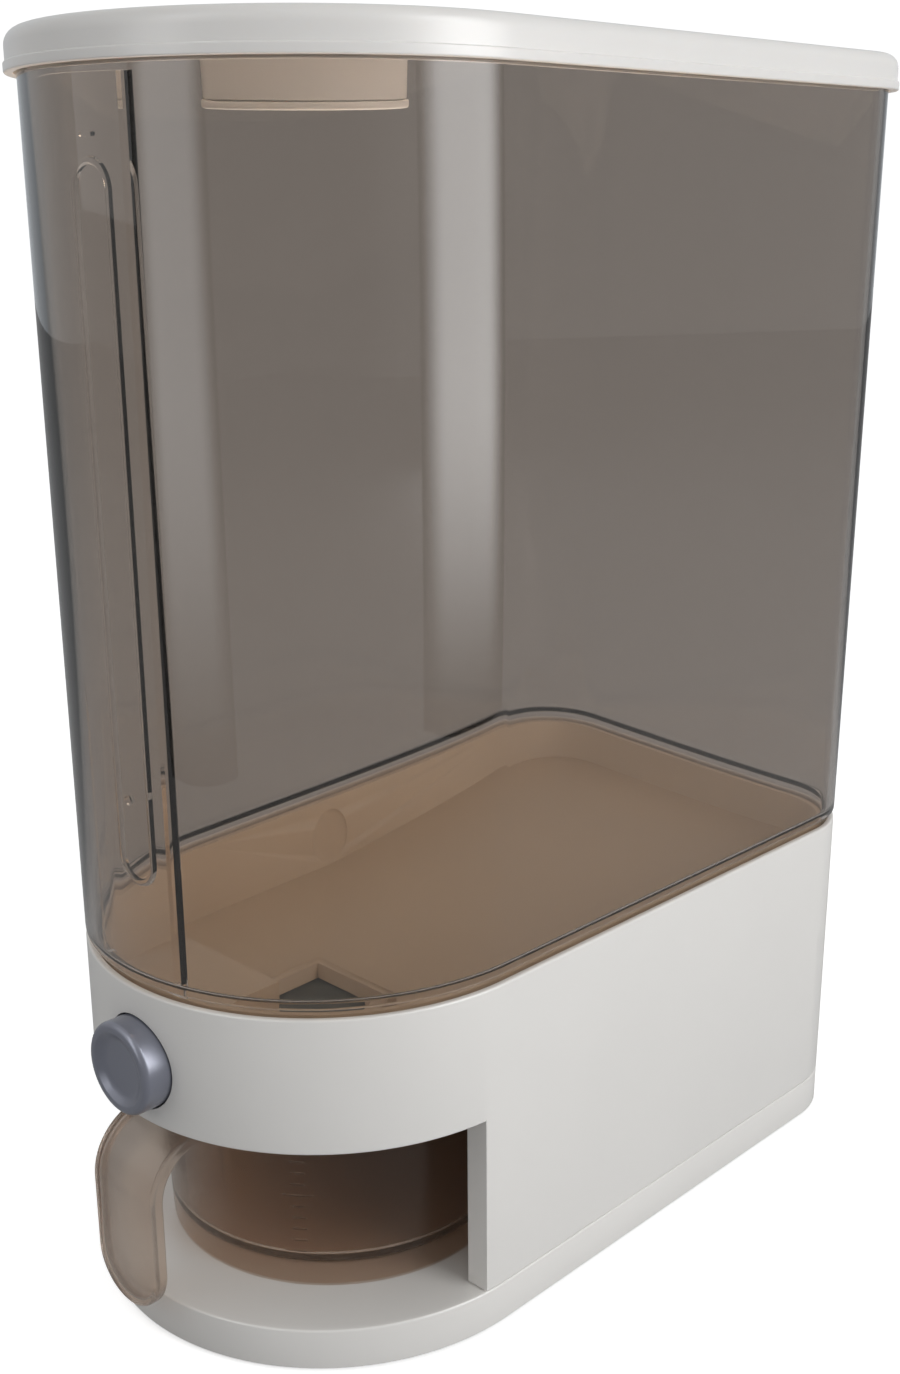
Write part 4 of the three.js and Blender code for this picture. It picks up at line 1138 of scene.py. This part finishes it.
class DISPENSER_OT_tank(bpy.types.Operator):
    """Moulds the clear tank and the channel inside its front"""

    bl_idname = "dispenser.tank"
    bl_label = "Tank"

    def execute(self, context):
        t = context.scene.dispenser_tank
        outline, lean = tank_plan()
        material = looks("tank_smoke")
        low, high = span("tank")
        wall, seat, neck = t.wall / MM, t.seat / MM, t.neck_inset / MM
        inner, step = neck + t.neck_wall / MM, seat + t.neck_wall / MM
        tank = shell("tank_finished", outline, rounded_path([
            (neck, low.z, 0.6), (neck, seat, 0.3), (0, seat, t.shoulder / MM), (0, high.z, 0.8),
            (wall, high.z, 0.8), (wall, step, 1.5), (inner, step, 1.2), (inner, low.z, 0.6)], 5), lean)
        finished(tank, "tank", "tank_plastic", material, "tank")
        self.channel(t, outline, lean, looks("channel_smoke"))
        return {"FINISHED"}

    def channel(self, t, outline, lean, material):
        low, high = span("tank_channel")
        half, skin, depth = t.channel_half / MM, t.channel_wall / MM, t.channel_depth / MM
        front = span("base_shell")[0].y + depth
        step = (t.seat + t.neck_wall) / MM + 0.3
        neck = (t.neck_inset + t.neck_wall) / MM + 0.3
        strip = block(-half, half, -FAR, front + skin, low.z, high.z)
        strip.name = "tank_channel_finished"
        clear = t.wall / MM + 0.3
        inside = shell("inside", outline, [(clear, step), (clear, high.z)], closed=False)
        join(inside, shell("neck", outline, [(neck, low.z), (neck, high.z)], closed=False))
        keep(strip, inside)
        cut(strip, block(skin - half, half - skin, -FAR, front, 0, FAR))
        join(strip, self.bead(t, front), self.bar(t, front), self.pin(t, front))
        for v in strip.data.vertices:
            v.co = lean(*v.co)
        finished(strip, "tank", "tank_plastic", material, "tank_channel")

    def bead(self, t, front):
        """Half-round raised line along a long oval."""
        line, height = t.bead_line / MM / 2, t.bead_height / MM
        radius = t.bead_width / MM / 2 - line
        bottom, top = t.bead_bottom / MM + line + radius, t.bead_top / MM - line - radius
        path = arc(0, top, radius, 0, 180, 32) + arc(0, bottom, radius, 180, 360, 32)
        rings = []
        for i, (x, z) in enumerate(path):
            out = Vector((x, z - (top if i <= 32 else bottom))).normalized()
            rings.append([
                (x + out.x * line * math.cos(a), front - height * math.sin(a), z + out.y * line * math.cos(a))
                for a in (2 * math.pi * k / 16 for k in range(16))
            ])
        return loft("bead", rings)

    def bar(self, t, front):
        level = t.bead_top / MM + 6
        return prism("bar", rounded_path([
            (-3, level - 0.6, 0.5), (3, level - 0.6, 0.5), (3, level + 0.6, 0.5), (-3, level + 0.6, 0.5)]),
            front - t.bead_height / MM, front + 0.5, "Y")

    def pin(self, t, front):
        return prism("pin", arc(-2, t.bead_bottom / MM + 29, 1.6, 0, 360, 32)[:-1],
                     front - t.bead_height / MM, front + 0.5, "Y")


class DISPENSER_OT_lid(bpy.types.Operator):
    """Moulds the lid with its lip, plug and drying-box socket, and its gasket"""

    bl_idname = "dispenser.lid"
    bl_label = "Lid"

    def execute(self, context):
        t = context.scene.dispenser_tank
        outline = lid_plan()
        material = looks("lid_white")
        low, high = span("lid")
        lip, over, level = t.lid_lip / MM, t.lid_overhang / MM, t.lip_level / MM
        inner, under = over - t.lid_wall / MM, high.z - t.lid_skin / MM
        step = level + t.lip_height / MM
        lid = shell("lid_finished", outline, rounded_path([
            (2 - over, under, 0), (-inner, under, 1.5), (-inner, level, 0.5), (-lip, level, 0.6),
            (-lip, step, 0.5), (-over, step + 0.25, 0.1), (-over, high.z, t.lid_round / MM),
            (t.lid_round / MM - over + 1, high.z, 0),
        ], 8, closed=False), closed=False)
        plug_out = t.wall / MM + 0.6
        plug_in = plug_out + t.plug_wall / MM
        plug_low = level - t.plug_drop / MM
        plug = shell("plug", outline, rounded_path([
            (plug_out, plug_low, 0.6), (plug_in, plug_low, 0.6), (plug_in, under + 1, 0),
            (plug_out, under + 1, 0)], 4))
        radius = t.box_radius / MM + 0.3
        socket = spun("socket", rounded_path([
            (radius, under - 6, 0.5), (radius + 2, under - 6, 0.5), (radius + 2, under + 1, 0),
            (radius, under + 1, 0),
        ], 3), steps=96)
        finished(join(lid, plug, socket), "lid", "lid_plastic", material, "lid")
        low, high = span("lid_gasket")
        gasket = shell("lid_gasket_finished", outline, rounded_path([
            (0, low.z, 0.6), (t.wall / MM, low.z, 0.6), (t.wall / MM, high.z, 0.6), (0, high.z, 0.6)], 4))
        finished(gasket, "lid", "silicone", looks("seal_silicone"), "lid_gasket")
        return {"FINISHED"}


class DISPENSER_OT_drying_box(bpy.types.Operator):
    """Moulds the drying box, its slotted twist cap and the sachet"""

    bl_idname = "dispenser.drying_box"
    bl_label = "Drying box"

    def execute(self, context):
        t = context.scene.dispenser_tank
        self.box(t)
        self.cap(t)
        self.sachet()
        return {"FINISHED"}

    def box(self, t):
        low, high = span("desiccant_box")
        wide, narrow, wall, rise = t.box_radius / MM, t.box_radius / MM - 0.8, t.box_wall / MM, high.z - low.z
        path = rounded_path([
            (0, rise - wall, 0), (wide - wall, rise - wall, 1), (narrow - wall, 0, 0.4), (narrow, 0, 0.4),
            (wide, rise, 1), (0, rise, 0)], 5, closed=False)
        box = spun("desiccant_box_finished", path, steps=128)
        box.data.transform(Matrix.Translation((0, 0, low.z)))
        finished(box, "lid", "lid_plastic", looks("lid_white"), "desiccant_box")

    def cap(self, t):
        low, high = span("desiccant_cap")
        radius, thick, tall = high.x, 2.4, 4.0
        lip = radius - 0.7 - t.box_wall / MM - 0.3
        path = rounded_path([
            (0, 0, 0), (radius, 0, 0.8), (radius, thick, 0.3), (lip, thick, 0), (lip, thick + tall, 0.4),
            (lip - 1.5, thick + tall, 0.4), (lip - 1.5, thick, 0), (0, thick, 0)], 4, closed=False)
        cap = spun("desiccant_cap_finished", path, steps=128)
        material = looks("lid_white")
        grow(cap, self.slot_tree(material), Slots=t.slots, Reach=17.5, Long=13.0, Wide=1.8)
        join(cap, block(-9, 9, -1.1, 1.1, thick - 0.5, thick + 1))
        cap.data.transform(Matrix.Translation((0, 0, low.z)))
        finished(cap, "desiccant_cap", "lid_plastic", material, "desiccant_cap")

    def slot_tree(self, material):
        """Cuts radial slots in the cap."""
        tree, given, out = node_tree("radial_slots", Slots=16, Reach=17.5, Long=13.0, Wide=1.8)
        ring = node(tree, "GeometryNodeMeshCircle", Vertices=given["Slots"], Radius=given["Reach"])
        size = node(tree, "ShaderNodeCombineXYZ", X=given["Long"], Y=given["Wide"], Z=12.0)
        slot = node(tree, "GeometryNodeMeshCube", Size=size.outputs[0])
        index = node(tree, "GeometryNodeInputIndex").outputs[0]
        turn = sum_of(tree, "DIVIDE", sum_of(tree, "MULTIPLY", index, 2 * math.pi), given["Slots"])
        spin = node(tree, "ShaderNodeCombineXYZ", Z=turn)
        ready = node(tree, "GeometryNodeInstanceOnPoints", Points=ring.outputs[0], Instance=slot.outputs[0])
        rotate = node(tree, "FunctionNodeEulerToRotation", Euler=spin.outputs[0])
        tree.links.new(rotate.outputs[0], ready.inputs["Rotation"])
        tools = node(tree, "GeometryNodeRealizeInstances", Geometry=ready.outputs[0])
        trimmed = node(tree, "GeometryNodeMeshBoolean", _operation="DIFFERENCE", _solver="EXACT")
        tree.links.new(given["Geometry"], trimmed.inputs["Mesh 1"])
        tree.links.new(tools.outputs[0], trimmed.inputs["Mesh 2"])
        close_tree(tree, trimmed.outputs[0], out, material)
        return tree

    def sachet(self):
        low, high = span("desiccant_sachet")
        radius, tall = high.x, high.z - low.z
        path = rounded_path([
            (0, 0, 0), (radius * 0.75, 0.2, 6), (radius * 0.96, tall / 2 - 0.4, 0.5),
            (radius, tall / 2 - 0.3, 0), (radius, tall / 2 + 0.3, 0),
            (radius * 0.96, tall / 2 + 0.4, 0.5), (radius * 0.75, tall - 0.2, 6), (0, tall, 0)], 8, closed=False)
        bag = spun("desiccant_sachet_finished", path, steps=96)
        bag.data.transform(Matrix.Translation((0, 0, low.z)))
        finished(bag, "lid", "sachet_paper", looks("sachet_paper"), "desiccant_sachet")


GROUPS = (DispenserShellSizes, DispenserTankSizes, DispenserCupSizes, DispenserLooks)
STEPS = (
    DISPENSER_OT_stage, DISPENSER_OT_base, DISPENSER_OT_plate, DISPENSER_OT_fixings, DISPENSER_OT_hopper,
    DISPENSER_OT_slider, DISPENSER_OT_cup, DISPENSER_OT_tank, DISPENSER_OT_lid, DISPENSER_OT_drying_box,
)


class DISPENSER_PT_panel(bpy.types.Panel):
    """Sidebar panel with the sizes, the looks and a button for each step"""

    bl_idname = "DISPENSER_PT_panel"
    bl_label = "Cereal Dispenser"
    bl_space_type = "VIEW_3D"
    bl_region_type = "UI"
    bl_category = "Dispenser"

    def draw(self, context):
        for step in STEPS:
            self.layout.operator(step.bl_idname)
        for group in ("shell", "tank", "cup", "looks"):
            settings = getattr(context.scene, "dispenser_" + group)
            box = self.layout.box()
            box.label(text=group.title())
            for key in settings.__annotations__:
                box.prop(settings, key)


def register():
    for cls in (*GROUPS, *STEPS, DISPENSER_PT_panel):
        bpy.utils.register_class(cls)
    bpy.types.Scene.dispenser_shell = bpy.props.PointerProperty(type=DispenserShellSizes)
    bpy.types.Scene.dispenser_tank = bpy.props.PointerProperty(type=DispenserTankSizes)
    bpy.types.Scene.dispenser_cup = bpy.props.PointerProperty(type=DispenserCupSizes)
    bpy.types.Scene.dispenser_looks = bpy.props.PointerProperty(type=DispenserLooks)


def unregister():
    for group in ("shell", "tank", "cup", "looks"):
        delattr(bpy.types.Scene, "dispenser_" + group)
    for cls in reversed((*GROUPS, *STEPS, DISPENSER_PT_panel)):
        bpy.utils.unregister_class(cls)


def main():
    """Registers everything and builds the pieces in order."""
    register()
    bpy.context.scene.view_settings.view_transform = "Standard"
    for step in STEPS:
        group, name = step.bl_idname.split(".")
        getattr(getattr(bpy.ops, group), name)()


if __name__ == "__main__":
    main()
